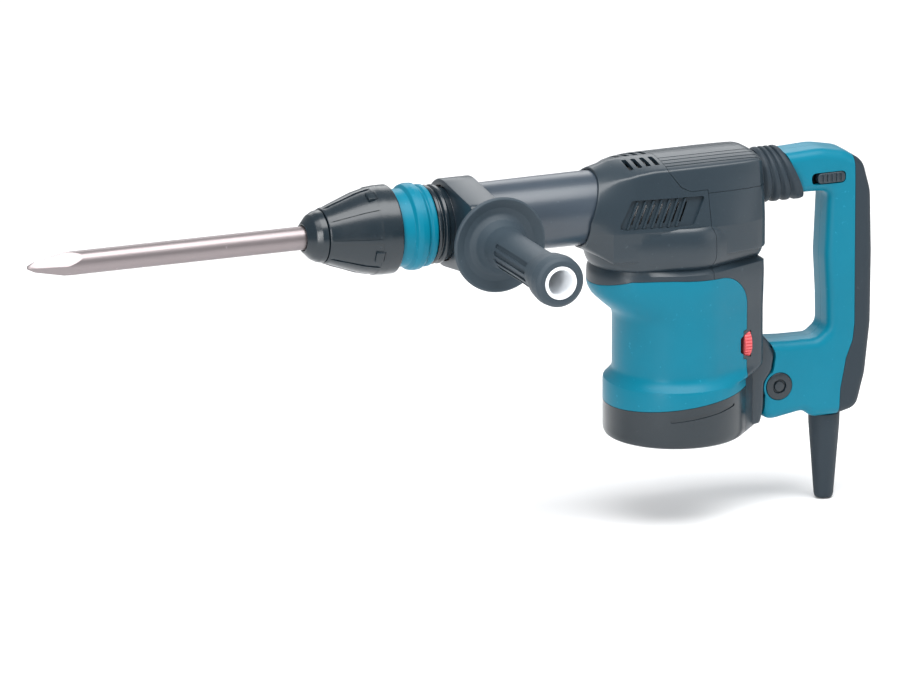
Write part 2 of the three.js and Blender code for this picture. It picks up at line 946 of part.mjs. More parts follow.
function handleBody() {
  const body = prism(handleOutline, "y", -HANDLE_HALF, HANDLE_HALF, 6);
  const rooms = join(...handleRooms.map((room) => prism(room, "y", -13, 13)));
  const guardRoom = rod(-5, 20, 11.2, "z", [GUARD_X, 0, 0], 20);
  const lugRoom = prism(
    stretched([[PIVOT[0], PIVOT[1], 12.4], [50, 12, 4], [50, 66, 4]], 20),
    "y",
    -7.9,
    7.9,
  );
  const boltHole = rod(-30, 30, 4.4, "y", [PIVOT[0], 0, PIVOT[1]], SMALL_ROUND);
  const capRoom = (a, b) => rod(a, b, 11, "y", [PIVOT[0], 0, PIVOT[1]], 20);
  const mouth = rod(80, 104, 12, "x", [0, 0, DAMPER_Z], 20);
  return cut(body, rooms, guardRoom, lugRoom, boltHole, capRoom(13.5, 20), capRoom(-20, -13.5), mouth);
}

const handle = handleBody();
const front = wide([...stripFront, [-10, -10], [-10, 230]]);

function handleShell(side) {
  const half = box(
    [50, side > 0 ? 0.15 : -30, -20],
    [200, side > 0 ? 30 : -0.15, 240],
  );
  const slot = box([106.5, -30, 187.5], [134.5, -12, 196.6]);
  const piece = handle.intersect(front).intersect(half);
  return side < 0 ? cut(piece, slot) : piece;
}

function backStrip() {
  return cut(handle, front, front.translate([GAP, 0, 0]));
}

function switchSlider() {
  const plate = box([111.5, -15.5, 188.2], [134, -9.5, 195.9]);
  const ridges = [0, 1, 2, 3, 4].map((i) =>
    box([114 + 4 * i, -18.6, 188.8], [116.4 + 4 * i, -15, 195.3]),
  );
  const thumb = box([112, -17.6, 188.6], [133.5, -15, 195.5]);
  return join(plate, thumb, ...ridges);
}

function switchBlock() {
  return join(
    box([104, -8.8, 186], [137, 8.8, 196]),
    box([110, -4, 196], [116, 4, 198]),
  );
}

function handleBellows() {
  const profile = [
    [64.4, 15.6],
    [64.4, 19.5],
    [67, 21.3],
    [69, 19],
    [71, 21.6],
    [75, 19],
    [77, 21.6],
    [81, 19],
    [83, 21.4],
    [86, 20.6],
    [86, 15.6],
    [64.4, 15.6],
  ];
  const points = profile.map(([x, r]) => new THREE.Vector2(r, x));
  const geometry = new THREE.LatheGeometry(points, 24).applyMatrix4(SPIN.x);
  const place = geometry.getAttribute("position");
  const lean = 0.453; // the last fold is cut at the slant of the handle's arm
  for (let i = 0; i < place.count; i++) {
    const along = (place.getX(i) - 64.4) / 21.6;
    place.setX(i, place.getX(i) + along * (8.1 - lean * place.getZ(i)));
  }
  return solid(geometry.translate(0, 0, DAMPER_Z));
}

function damperRod() {
  return join(
    rod(52, 96, 4, "x", [0, 0, DAMPER_Z], SMALL_ROUND),
    rod(52, 56, 9, "x", [0, 0, DAMPER_Z], SMALL_ROUND),
  );
}

function damperSpring() {
  return coilSpring(8, 1, 28, 5, "x", [66, 0, DAMPER_Z]);
}

function pivotBolt() {
  return rod(-12.8, 12.8, 4, "y", [PIVOT[0], 0, PIVOT[1]], SMALL_ROUND);
}

function pivotCap(side) {
  const ends = [side * 13.9, side * 18.2].sort((a, b) => a - b);
  const hole = [side * 16, side * 20].sort((a, b) => a - b);
  const centre = [PIVOT[0], 0, PIVOT[1]];
  return cut(
    rod(...ends, 10.6, "y", centre, 20),
    tube(...hole, 4, 5.2, "y", centre, SMALL_ROUND),
  );
}

function cordGuard() {
  const profile = [
    [18, 4.2],
    [18, 10.8],
    [3, 10.8],
    [2.6, 12],
    [-4, 12],
    [-62, 7.4],
    [-65, 6.6],
    [-65, 4.2],
    [18, 4.2],
  ];
  return turned(profile, "z", [GUARD_X, 0, 0], 20);
}

// ---------------------------------------------------------------- assembly

add("chisel", chisel(), STEEL);
add("tool_holder", toolHolder(), DARK_STEEL);
add("locking_roller_top", lockingRoller(1), STEEL);
add("locking_roller_bottom", lockingRoller(-1), STEEL);
add("nose_cap", noseCap(), RUBBER);
add("release_cover", releaseCover(), BLACK);
add("cover_spring", coverSpring(), DARK_STEEL);
add("change_ring", changeRing(), TEAL);
add("barrel_ring", barrelRing(), BLACK);
add("barrel", barrel(), BLACK);
add("clamp_block", clampBlock(), BLACK);
add("clamp_band", clampBand(), DARK_STEEL);
add("side_grip", sideGrip(), RUBBER);
add("grip_core", gripCore(), WHITE);
add("grip_bolt", gripBolt(), DARK_STEEL);
add("impact_bolt", impactBolt(), STEEL);
add("striker", striker(), STEEL);
add("cylinder", cylinder(), ALLOY);
add("piston", piston(), ALLOY);
add("wrist_pin", wristPin(), STEEL);
add("connecting_rod", connectingRod(), DARK_STEEL);
add("crank_shaft", crankShaft(), DARK_STEEL);
add("crank_gear", crankGear(), STEEL);
add("crank_bearing_lower", crankBearing(118.8, 122.2, 13), STEEL);
add("crank_bearing_upper", crankBearing(136.3, 143.7, 15), STEEL);
add("crank_case", crankCase(), ALLOY);
add("armature_shaft", armatureShaft(), STEEL);
add("armature_core", armatureCore(), DARK_STEEL);
add("commutator", commutator(), COPPER);
add("fan", fan(), WHITE);
add("armature_bearing_lower", armatureBearing(12, 19), STEEL);
add("armature_bearing_upper", armatureBearing(104.5, 112), STEEL);
add("field_stator", fieldStator(), DARK_STEEL);
for (const [name, side] of [
  ["left", -1],
  ["right", 1],
]) {
  add(`brush_${name}`, brush(side), CARBON);
  add(`brush_holder_${name}`, brushHolder(side), COPPER);
  add(`handle_shell_${name}`, handleShell(side), TEAL);
  add(`pivot_cap_${name}`, pivotCap(side), BLACK);
}
add("front_housing", frontHousing(), BLACK);
add("top_rear_cover", topRearCover(), BLACK);
add("rear_housing", rearHousing(), BLACK);
add("motor_housing", motorHousing(), TEAL);
add("motor_cap", motorCap(), BLACK);
CAP_SCREWS.forEach((place, i) => add(`cap_screw_${i + 1}`, capScrew(place), DARK_STEEL));
add("speed_dial", speedDial(), RED);
add("speed_controller", speedController(), CARBON);
add("handle_back_strip", backStrip(), BLACK);
add("switch_slider", switchSlider(), BLACK);
add("switch_block", switchBlock(), CARBON);
add("handle_bellows", handleBellows(), RUBBER);
add("damper_rod", damperRod(), DARK_STEEL);
add("damper_spring", damperSpring(), STEEL);
add("pivot_bolt", pivotBolt(), DARK_STEEL);
add("cord_guard", cordGuard(), RUBBER);

export default hammer;
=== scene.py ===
# %% [markdown]
# # A demolition hammer, piece by piece
# The hammer is an assembly: a chisel in a turning holder, a steel barrel, a side grip, a moulded
# housing round an upright motor, and a sprung rear handle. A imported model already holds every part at
# its real size, with its joints. This script gives the visible parts their finished shapes and finishes.
# Sizes are in millimetres here and become metres in one place, so they read like a drawing.

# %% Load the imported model
import json
import math

import bmesh
import bpy
from mathutils import Matrix, Vector


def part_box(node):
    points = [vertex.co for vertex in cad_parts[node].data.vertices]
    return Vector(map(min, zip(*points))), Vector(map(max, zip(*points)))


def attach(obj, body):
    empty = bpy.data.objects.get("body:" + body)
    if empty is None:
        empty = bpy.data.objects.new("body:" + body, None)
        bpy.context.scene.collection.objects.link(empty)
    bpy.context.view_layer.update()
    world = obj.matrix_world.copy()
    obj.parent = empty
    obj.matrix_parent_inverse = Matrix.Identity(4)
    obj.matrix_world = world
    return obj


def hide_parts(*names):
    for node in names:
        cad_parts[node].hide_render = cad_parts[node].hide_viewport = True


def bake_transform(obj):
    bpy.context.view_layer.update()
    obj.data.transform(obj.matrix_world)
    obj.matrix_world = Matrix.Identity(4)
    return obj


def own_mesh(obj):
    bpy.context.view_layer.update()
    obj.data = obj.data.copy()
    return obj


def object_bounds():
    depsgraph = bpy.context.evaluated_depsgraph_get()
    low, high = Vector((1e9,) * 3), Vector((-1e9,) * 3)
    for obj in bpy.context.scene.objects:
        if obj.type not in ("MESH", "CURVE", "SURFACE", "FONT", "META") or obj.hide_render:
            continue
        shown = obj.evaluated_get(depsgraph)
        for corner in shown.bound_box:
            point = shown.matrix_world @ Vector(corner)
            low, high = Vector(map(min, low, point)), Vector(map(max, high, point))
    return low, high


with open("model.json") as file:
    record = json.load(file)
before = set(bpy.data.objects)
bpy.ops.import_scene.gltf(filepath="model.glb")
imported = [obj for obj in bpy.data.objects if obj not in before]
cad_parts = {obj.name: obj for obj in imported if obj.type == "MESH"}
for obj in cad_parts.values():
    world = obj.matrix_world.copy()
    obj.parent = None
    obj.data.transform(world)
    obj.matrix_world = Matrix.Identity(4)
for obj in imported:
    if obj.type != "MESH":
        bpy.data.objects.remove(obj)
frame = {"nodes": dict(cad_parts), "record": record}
cad_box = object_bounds()
MM = 0.001

# %% [markdown]
# ## The camera
# A product view: a long lens far away keeps the parallel lines of the tool parallel. The camera stands
# to the front left of the tool and a little above it.

# %% Camera
AZIMUTH, ELEVATION = math.radians(-22.6), math.radians(15.6)
AIM = Vector((-0.1854, 0.0, 0.0943))
DISTANCE = 12.0


def place_camera():
    back = Vector(
        (
            math.sin(AZIMUTH) * math.cos(ELEVATION),
            -math.cos(AZIMUTH) * math.cos(ELEVATION),
            math.sin(ELEVATION),
        )
    )
    lens = bpy.data.cameras.new("long_lens")
    lens.lens = 633.5
    camera = bpy.data.objects.new("camera", lens)
    camera.location = AIM + back * DISTANCE
    camera.rotation_mode = "QUATERNION"
    camera.rotation_quaternion = (-back).to_track_quat("-Z", "Y")
    bpy.context.scene.collection.objects.link(camera)
    bpy.context.scene.camera = camera
    return camera


print("camera at", tuple(round(c, 3) for c in place_camera().location))

# %% [markdown]
# ## Moulded plastic, rubber and metal
# Most of the tool is moulded plastic. It has a fine spark-eroded grain, a slow change of tone from
# handling, and a roughness that is never quite even. All plastics use one node group for that, so the
# grain keeps one scale on the whole tool, and each material only sets its own colour and gloss.

# %% A node group for surface grain


def surface_group():
    group = bpy.data.node_groups.new("surface grain", "ShaderNodeTree")
    face = group.interface
    for name, value in (("Grain", 900.0), ("Stretch", 1.0), ("Cloud", 14.0)):
        face.new_socket(name, in_out="INPUT", socket_type="NodeSocketFloat").default_value = value
    for name in ("Height", "Mottle", "Speck"):
        face.new_socket(name, in_out="OUTPUT", socket_type="NodeSocketFloat")
    add, link = group.nodes.new, group.links.new
    start, end = add("NodeGroupInput"), add("NodeGroupOutput")
    place, squeeze = add("ShaderNodeTexCoord"), add("ShaderNodeVectorMath")
    along = add("ShaderNodeCombineXYZ")
    along.inputs[1].default_value = 1.0
    along.inputs[2].default_value = 1.0
    squeeze.operation = "MULTIPLY"
    link(start.outputs["Stretch"], along.inputs[0])
    link(place.outputs["Object"], squeeze.inputs[0])
    link(along.outputs[0], squeeze.inputs[1])
    for scale, detail, rough, out in (
        ("Grain", 2.0, 0.5, "Height"),
        ("Cloud", 4.0, 0.6, "Mottle"),
    ):
        noise = add("ShaderNodeTexNoise")
        noise.inputs["Detail"].default_value = detail
        noise.inputs["Roughness"].default_value = rough
        link(squeeze.outputs[0], noise.inputs["Vector"])
        link(start.outputs[scale], noise.inputs["Scale"])
        link(noise.outputs["Fac"], end.inputs[out])
    dust = add("ShaderNodeTexNoise")
    dust.inputs["Scale"].default_value = 260.0
    dust.inputs["Detail"].default_value = 6.0
    pick = add("ShaderNodeMapRange")
    pick.inputs["From Min"].default_value = 0.68
    pick.inputs["From Max"].default_value = 0.8
    link(place.outputs["Object"], dust.inputs["Vector"])
    link(dust.outputs["Fac"], pick.inputs["Value"])
    link(pick.outputs[0], end.inputs["Speck"])
    return group


GRAIN = surface_group()
print("group", GRAIN.name)

# %% A finish is a colour, a gloss and its own grain


def finish(name, colour, rough, metal=0.0, grain=900.0, bump=0.05, stretch=1.0, tone=0.12, shine=0.35):
    material = bpy.data.materials.new(name)
    material.use_nodes = True
    nodes, link = material.node_tree.nodes, material.node_tree.links.new
    shader = nodes["Principled BSDF"]
    shader.inputs["Metallic"].default_value = metal
    shader.inputs["Specular IOR Level"].default_value = shine
    skin = nodes.new("ShaderNodeGroup")
    skin.node_tree = GRAIN
    skin.inputs["Grain"].default_value = grain
    skin.inputs["Stretch"].default_value = stretch
    blend = nodes.new("ShaderNodeMix")
    blend.data_type = "RGBA"
    dark = [c * (1 - tone) for c in colour]
    light = [min(1.0, c * (1 + tone) + 0.01 * tone) for c in colour]
    blend.inputs[6].default_value = (*dark, 1)
    blend.inputs[7].default_value = (*light, 1)
    link(skin.outputs["Mottle"], blend.inputs[0])
    dusty = nodes.new("ShaderNodeMix")
    dusty.data_type = "RGBA"
    dusty.inputs[7].default_value = (*[min(1.0, c * 1.5 + 0.02) for c in colour], 1)
    link(skin.outputs["Speck"], dusty.inputs[0])
    link(blend.outputs[2], dusty.inputs[6])
    link(dusty.outputs[2], shader.inputs["Base Color"])
    gloss = nodes.new("ShaderNodeMapRange")
    gloss.inputs["To Min"].default_value = rough - 0.05
    gloss.inputs["To Max"].default_value = rough + 0.07
    link(skin.outputs["Mottle"], gloss.inputs["Value"])
    link(gloss.outputs[0], shader.inputs["Roughness"])
    relief = nodes.new("ShaderNodeBump")
    relief.inputs["Strength"].default_value = bump
    relief.inputs["Distance"].default_value = 0.0004
    link(skin.outputs["Height"], relief.inputs["Height"])
    link(relief.outputs[0], shader.inputs["Normal"])
    return material


def linear(red, green, blue):
    """A colour as the eye names it, from 0 to 255, turned into light values."""
    return tuple((c / 255) ** 2.2 for c in (red, green, blue))


TEAL = finish("teal plastic", linear(0, 106, 128), 0.36, bump=0.05, shine=0.18)
DARK = finish("charcoal plastic", linear(33, 45, 53), 0.33, bump=0.06, shine=0.5)
DARK_GLOSS = finish("charcoal glossy plastic", linear(22, 34, 41), 0.24, bump=0.03, shine=0.5)
PAINTED = finish("painted barrel", linear(50, 60, 70), 0.3, bump=0.08, grain=500.0, shine=0.6)
RUBBER = finish("side grip rubber", linear(50, 61, 69), 0.55, bump=0.14, grain=700.0)
SOFT = finish("soft handle overmould", linear(34, 45, 53), 0.56, bump=0.16, grain=620.0)
STEEL = finish("chisel steel", linear(138, 130, 131), 0.44, metal=1.0, bump=0.1, grain=1500.0, stretch=0.04)
DARK_STEEL = finish("dark steel", linear(120, 120, 122), 0.38, metal=1.0, grain=1200.0)
ALLOY = finish("cast alloy", linear(168, 170, 172), 0.5, metal=1.0, bump=0.2, grain=300.0)
WHITE = finish("white nylon", linear(232, 235, 238), 0.45, bump=0.04)
COPPER = finish("copper", linear(190, 110, 70), 0.35, metal=1.0, grain=1200.0)
RED = finish("red dial plastic", linear(212, 92, 96), 0.45, bump=0.06)
CARBON = finish("carbon", linear(40, 40, 42), 0.8, bump=0.2, grain=1400.0)
print("finishes", len(bpy.data.materials))

# %% [markdown]
# ## Drawing outlines
# Moulded parts have no sharp corners. An outline here is a short list of corners, each with its own
# fillet radius. The fillets become arcs, and the result is shared out evenly along its length, so that
# neighbouring loops bridge into clean quads.

# %% Outlines with fillets


def filleted(corners, steps=6, closed=True):
    """Corners (a, b, radius) become points, with each corner rounded off."""
    points = []
    count = len(corners)
    for i, (a, b, radius) in enumerate(corners):
        here = Vector((a, b))
        if radius <= 0 or (not closed and i in (0, count - 1)):
            points.append(here)
            continue
        to_last = Vector(corners[i - 1][:2]) - here
        to_next = Vector(corners[(i + 1) % count][:2]) - here
        half = to_last.angle(to_next) / 2
        reach = min(radius / max(math.tan(half), 0.05), to_last.length * 0.49, to_next.length * 0.49)
        start, end = here + to_last.normalized() * reach, here + to_next.normalized() * reach
        for k in range(steps + 1):
            t = k / steps
            points.append(start * (1 - t) ** 2 + here * 2 * t * (1 - t) + end * t * t)
    return points


def shared_out(points, count):
    """The same closed outline with its points at even distances."""
    loop = points + [points[0]]
    marks = [0.0]
    for p, q in zip(loop, loop[1:]):
        marks.append(marks[-1] + (q - p).length)
    result, i = [], 0
    for k in range(count):
        target = marks[-1] * k / count
        while marks[i + 1] < target:
            i += 1
        span = marks[i + 1] - marks[i]
        result.append(loop[i].lerp(loop[i + 1], (target - marks[i]) / span if span else 0))
    return result


def grown(points, distance):
    """An outline (counter-clockwise) moved outwards by a distance."""
    result = []
    for i, p in enumerate(points):
        way = (points[(i + 1) % len(points)] - points[i - 1]).normalized()
        result.append(p + Vector((way.y, -way.x)) * distance)
    return result


def stretched(circles, count):
    """A band stretched round circles (x, y, radius), starting at its rearmost point."""
    points = []
    for k in range(720):
        way = Vector((math.cos(k * math.pi / 360), math.sin(k * math.pi / 360)))
        x, y, radius = max(circles, key=lambda c: c[0] * way.x + c[1] * way.y + c[2])
        points.append(Vector((x, y)) + way * radius)
    return shared_out(points, count)


print("fillet of a square:", len(filleted([(0, 0, 1), (9, 0, 1), (9, 9, 1), (0, 9, 1)])), "points")

# %% [markdown]
# ## Turning, lofting and cutting
# Round parts are turned: a profile is spun once round its axis. The housing and the handle are lofted:
# loops are laid one above the other and bridged. Vents, seams and pockets are cut with solid tools.

# %% Turned parts
TOOL_Z = 185


def upright(axis):
    """The turn that takes +Z to the given axis."""
    ways = {"x": (1, 0, 0), "-y": (0, -1, 0), "y": (0, 1, 0), "z": (0, 0, 1)}
    return Vector((0, 0, 1)).rotation_difference(Vector(ways[axis])).to_matrix().to_4x4()


def turned(profile, axis, centre, steps=96, closed=True):
    """Spins a profile (place along the axis, radius, fillet) round the axis."""
    bm = bmesh.new()
    points = filleted(profile, steps=4, closed=closed)
    verts = [bm.verts.new((p.y, 0, p.x)) for p in points]
    edges = [bm.edges.new(pair) for pair in zip(verts, verts[1:] + verts[:1] if closed else verts[1:])]
    bmesh.ops.spin(
        bm,
        geom=verts + edges,
        cent=(0, 0, 0),
        axis=(0, 0, 1),
        angle=2 * math.pi,
        steps=steps,
        use_merge=True,
    )
    bmesh.ops.remove_doubles(bm, verts=bm.verts, dist=1e-4)
    bmesh.ops.recalc_face_normals(bm, faces=bm.faces)
    bmesh.ops.transform(bm, matrix=Matrix.Translation(centre) @ upright(axis), verts=bm.verts)
    return bm


def rod(radius, low, high, axis, centre, steps=96):
    """A plain round bar, which drills and bores other parts."""
    profile = [(low, 0, 0), (low, radius, 0), (high, radius, 0), (high, 0, 0)]
    return turned(profile, axis, centre, steps, closed=False)


# %% Lofted parts


def loft(loops):
    """Bridges loops of 3-D points, all with the same number of points, and closes both ends."""
    bm = bmesh.new()
    last = None
    for number, loop in enumerate(loops):
        capped = number in (0, len(loops) - 1)
        made = bmesh.ops.create_circle(bm, cap_ends=capped, segments=len(loop), radius=1.0)
        verts = made["verts"]
        for vert, place in zip(verts, loop):
            vert.co = place
        edges = list({e for v in verts for e in v.link_edges})
        if last:
            bmesh.ops.bridge_loops(bm, edges=last + edges)
        last = edges
    bm.normal_update()
    ends = [face for face in bm.faces if len(face.verts) > 4]
    bmesh.ops.triangulate(bm, faces=ends, ngon_method="EAR_CLIP")
    bmesh.ops.recalc_face_normals(bm, faces=bm.faces)
    return bm


def prism(outline, axis, low, high):
    """Pushes an outline of (a, b) points along y (from x, z) or z (from x, y) or x (from y, z)."""
    bm = bmesh.new()
    spots = {
        "x": lambda a, b: (low, a, b),
        "y": lambda a, b: (a, low, b),
        "z": lambda a, b: (a, b, low),
    }[axis]
    face = bm.faces.new([bm.verts.new(spots(p[0], p[1])) for p in outline])
    push = {"x": (high - low, 0, 0), "y": (0, high - low, 0), "z": (0, 0, high - low)}[axis]
    top = bmesh.ops.extrude_face_region(bm, geom=[face])
    bmesh.ops.translate(bm, vec=push, verts=[v for v in top["geom"] if isinstance(v, bmesh.types.BMVert)])
    bmesh.ops.recalc_face_normals(bm, faces=bm.faces)
    return bm


def block(low, high, round_by=0.0):
    """A box with softened edges."""
    bm = bmesh.new()
    bmesh.ops.create_cube(bm, size=1.0)
    size = Vector(high) - Vector(low)
    middle = (Vector(high) + Vector(low)) / 2
    bmesh.ops.scale(bm, vec=size, verts=bm.verts)
    bmesh.ops.translate(bm, vec=middle, verts=bm.verts)
    if round_by:
        bmesh.ops.bevel(
            bm, geom=bm.edges[:], offset=round_by, segments=3, profile=0.5, affect="EDGES", material=-1
        )
    return bm


# %% Solid tools that join and cut


def solid(bm):
    """A working object from a bmesh, still in millimetres."""
    mesh = bpy.data.meshes.new("work")
    bm.to_mesh(mesh)
    bm.free()
    thing = bpy.data.objects.new("work", mesh)
    bpy.context.scene.collection.objects.link(thing)
    return thing


def worked(thing, tool, how):
    """Joins (UNION), cuts (DIFFERENCE) or keeps the common part (INTERSECT), and uses the tool up."""
    if isinstance(tool, bmesh.types.BMesh):
        tool = solid(tool)
    step = thing.modifiers.new("work", "BOOLEAN")
    step.operation, step.object, step.solver = how, tool, "MANIFOLD"
    bpy.context.view_layer.update()
    made = bpy.data.meshes.new_from_object(thing.evaluated_get(bpy.context.evaluated_depsgraph_get()))
    thing.modifiers.clear()
    old, thing.data = thing.data, made
    bpy.data.meshes.remove(old)
    used = tool.data
    bpy.data.objects.remove(tool)
    bpy.data.meshes.remove(used)
    return thing


def cut(thing, *tools):
    for tool in tools:
        thing = worked(thing, tool, "DIFFERENCE")
    return thing


def join(thing, *tools):
    for tool in tools:
        thing = worked(thing, tool, "UNION")
    return thing


def common(thing, tool):
    return worked(thing, tool, "INTERSECT")


def copied(thing):
    twin = bpy.data.objects.new("work", thing.data.copy())
    bpy.context.scene.collection.objects.link(twin)
    return twin


# %% A finished piece


def piece(name, shape, body, nodes, material, smooth=32, soften=0.0):
    """Turns a shape into a finished part: metres, shading, finish, and the CAD parts it stands for."""
    thing = shape if isinstance(shape, bpy.types.Object) else solid(shape)
    thing.name = name
    thing.data.name = name
    bm = bmesh.new()
    bm.from_mesh(thing.data)
    bmesh.ops.remove_doubles(bm, verts=bm.verts, dist=0.002)
    bmesh.ops.dissolve_degenerate(bm, edges=bm.edges, dist=0.001)
    if soften:
        sharp = [e for e in bm.edges if e.is_manifold and e.calc_face_angle() > math.radians(50)]
        bmesh.ops.bevel(
            bm, geom=sharp, offset=soften, segments=2, profile=0.5, affect="EDGES", material=-1,
            clamp_overlap=True,
        )
    bmesh.ops.scale(bm, vec=(MM, MM, MM), verts=bm.verts)
    for face in bm.faces:
        face.smooth = True
    bm.to_mesh(thing.data)
    bm.free()
    thing.data.set_sharp_from_angle(angle=math.radians(smooth))
    thing.data.materials.clear()
    thing.data.materials.append(material)
    if body:
        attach(thing, body)
    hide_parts(*nodes)
    print(name, len(thing.data.polygons), "faces")
    return thing


ON_AXIS = (0, 0, TOOL_Z)

# %% [markdown]
# ## The chisel
# A bull point is an 18 mm bar whose end is ground to four flats that meet in a blunt tip. Where the
# flats run out on the round bar they leave four curved arches. Cutting a round bar with a slim
# four-sided tool gives exactly those arches, as the grinder does.

# %% Chisel
CHISEL_TIP, CHISEL_END, SHANK = -528, -216, 9.0


def chisel():
    bar = turned(
        [
            (CHISEL_TIP, 0, 0),
            (CHISEL_TIP, 1.3, 0.8),
            (CHISEL_TIP + 7, 4.6, 4),
            (CHISEL_TIP + 24, SHANK, 6),
            (CHISEL_END, SHANK, 1),
            (CHISEL_END, 0, 0),
        ],
        "x",
        ON_AXIS,
        steps=128,
        closed=False,
    )
    stations = [(-2, 1.0), (0, 2.1), (5, 3.9), (32, 9.3), (46, 13.2), (56, 17), (330, 18)]
    loops = []
    for from_tip, half in stations:
        x = CHISEL_TIP + from_tip
        corners = [(half, 0), (0, half), (-half, 0), (0, -half)]
        square = filleted([(a * 1.05, b * 1.05, half * 0.05) for a, b in corners], steps=2)
        loops.append([(x, p.x, TOOL_Z + p.y) for p in square])
    bar = common(solid(bar), loft(loops))
    for side in (1, -1):
        low, high = sorted((TOOL_Z + side * 6.1, TOOL_Z + side * 12))
        bar = cut(bar, block((-267.6, -3.7, low), (-242.4, 3.7, high)))
    return bar


piece("bull_point_chisel", chisel(), "chisel", ["chisel"], STEEL, smooth=14)

# %% [markdown]
# ## Nose, release cover and angle ring
# The release cover is a tapered sleeve with eight shallow panels, so that a gloved hand can pull it
# back. Panels are shallow pockets between narrow ribs. Every second panel ends in a raised thumb
# bump. The sleeve is turned first, then the pockets are cut with slim lofted tools set round the axis.

# %% Nose cap


def nose_cap():
    return turned(
        [
            (-306, 9.7, 0.6),
            (-306, 11.2, 1.5),
            (-300.5, 17.0, 5),
            (-296, 19.4, 3),
            (-291.6, 20.3, 0.7),
            (-291.4, 16.6, 0.3),
            (-295, 16.6, 0.5),
            (-295, 9.7, 0.5),
        ],
        "x",
        ON_AXIS,
        steps=120,
    )


piece("dust_cap", nose_cap(), "holder", ["nose_cap"], DARK_GLOSS)

# %% Release cover
COVER_LINE = [(-291, 20.9), (-283, 24.2), (-274, 27.3), (-264.5, 30.9), (-255, 33.2), (-246, 34.0)]
PANELS = 8


def cover_radius(x):
    for (x0, r0), (x1, r1) in zip(COVER_LINE, COVER_LINE[1:]):
        if x <= x1:
            return r0 + (r1 - r0) * (x - x0) / (x1 - x0)
    return COVER_LINE[-1][1]


def round_axis(bm, angle):
    turn = Matrix.Rotation(math.radians(angle), 4, "X")
    move = Matrix.Translation(ON_AXIS)
    bmesh.ops.transform(bm, matrix=move @ turn @ move.inverted(), verts=bm.verts)
    return bm


def panel_tool(depth):
    """A shallow pocket between two ribs: its curved floor follows the taper of the sleeve."""
    spread = [math.radians(a) for a in range(-20, 21, 4)]
    loops = []
    for x in (-289.5, -287, -281, -275, -269, -263, -258, -254, -252.4):
        ease = min(1.0, (x + 290) / 3, max(0.1, (-252 - x) / 1.5))
        floor, lid = cover_radius(x) - depth * ease, cover_radius(x) + 6
        arc = [(floor, a) for a in spread] + [(lid, a) for a in reversed(spread)]
        loops.append([(x, r * math.sin(a), TOOL_Z + r * math.cos(a)) for r, a in arc])
    return loft(loops)


def release_cover():
    sleeve = turned(
        [
            (-291, 16.6, 0.3),
            (-291, 20.9, 0.8),
            (-283, 24.2, 12),
            (-274, 27.3, 20),
            (-264.5, 30.9, 20),
            (-255, 33.2, 16),
            (-246, 34, 8),
            (-237, 34, 1.2),
            (-236, 33.2, 0.8),
            (-236, 30.4, 0.4),
            (-253, 30.4, 0.5),
            (-262, 27.4, 1),
            (-274, 24, 1),
            (-284, 20.4, 0.5),
            (-284, 16.6, 0.5),
        ],
        "x",
        ON_AXIS,
        steps=160,
    )
    sleeve = solid(sleeve)
    for number in range(PANELS):
        angle = 360 / PANELS * (number + 0.5)
        sleeve = cut(sleeve, round_axis(panel_tool(0.7), angle))
        if number % 2 == 0:
            bump = block((-258.5, -4.4, TOOL_Z + 30.8), (-250.4, 4.4, TOOL_Z + 34.1), 0.7)
            sleeve = join(sleeve, round_axis(bump, angle))
    groove = turned([(-252.2, 33.5, 0), (-252.2, 36, 0), (-251.6, 36, 0), (-251.6, 33.5, 0)], "x", ON_AXIS)
    return cut(sleeve, groove)


sleeve = release_cover()
piece("release_cover_sleeve", sleeve, "cover", ["release_cover"], DARK_GLOSS, smooth=24)

# %% Angle ring


def angle_ring():
    return turned(
        [
            (-238, 20.9, 0.3),
            (-238, 29.6, 0.5),
            (-225.4, 29.7, 0.8),
            (-223.6, 32.4, 1.6),
            (-220, 33.3, 3),
            (-215.4, 33.0, 1.6),
            (-213.2, 30.2, 0.9),
            (-212.2, 30.2, 0.6),
            (-210.9, 31.4, 1),
            (-208, 31.3, 1.4),
            (-206.9, 30.4, 0.6),
            (-206.8, 20.9, 0.3),
        ],
        "x",
        ON_AXIS,
        steps=140,
    )


piece("angle_change_ring", angle_ring(), "angle_ring", ["change_ring"], TEAL, smooth=28)

# %% Black ring behind it, and the barrel


def barrel_ring():
    return turned(
        [
            (-206, 20.9, 0.3),
            (-206, 29.6, 0.9),
            (-203.6, 30.5, 0.9),
            (-202.4, 28.0, 0.5),
            (-201.4, 28.0, 0.5),
            (-200.2, 30.2, 1.0),
            (-197.6, 30.2, 1.0),
            (-196.4, 28.0, 0.6),
            (-192.4, 28.0, 0.3),
            (-192.4, 24.2, 0.3),
            (-196, 20.9, 0.3),
        ],
        "x",
        ON_AXIS,
        steps=140,
    )


def barrel():
    return turned(
        [
            (-192, 18.5, 0.3),
            (-192, 27, 0.5),
            (-166.2, 27, 0.3),
            (-166.0, 27.6, 0.4),
            (-112, 28.0, 0),
            (-68, 28.2, 0.5),
            (-68, 24.1, 0.5),
            (-170, 24.1, 0.5),
            (-186, 18.5, 0.5),
        ],
        "x",
        ON_AXIS,
        steps=140,
    )


piece("neck_ring", barrel_ring(), "hammer", ["barrel_ring"], DARK_GLOSS, smooth=28)
piece("barrel_tube", barrel(), "hammer", ["barrel"], PAINTED, smooth=28)

# %% [markdown]
# ## The side handle
# A block clamps round the barrel and carries a grip with a dished guard disc. The block is a stretched
# outline pushed along the barrel and softened. The grip is turned, then its hand area gets long
# grooves with round ends, and its open end shows the white tube inside.

# %% Clamp block
CLAMP_FROM, CLAMP_TO, CLAMP_REACH = -192, -166.5, -58
GRIP_X = -176


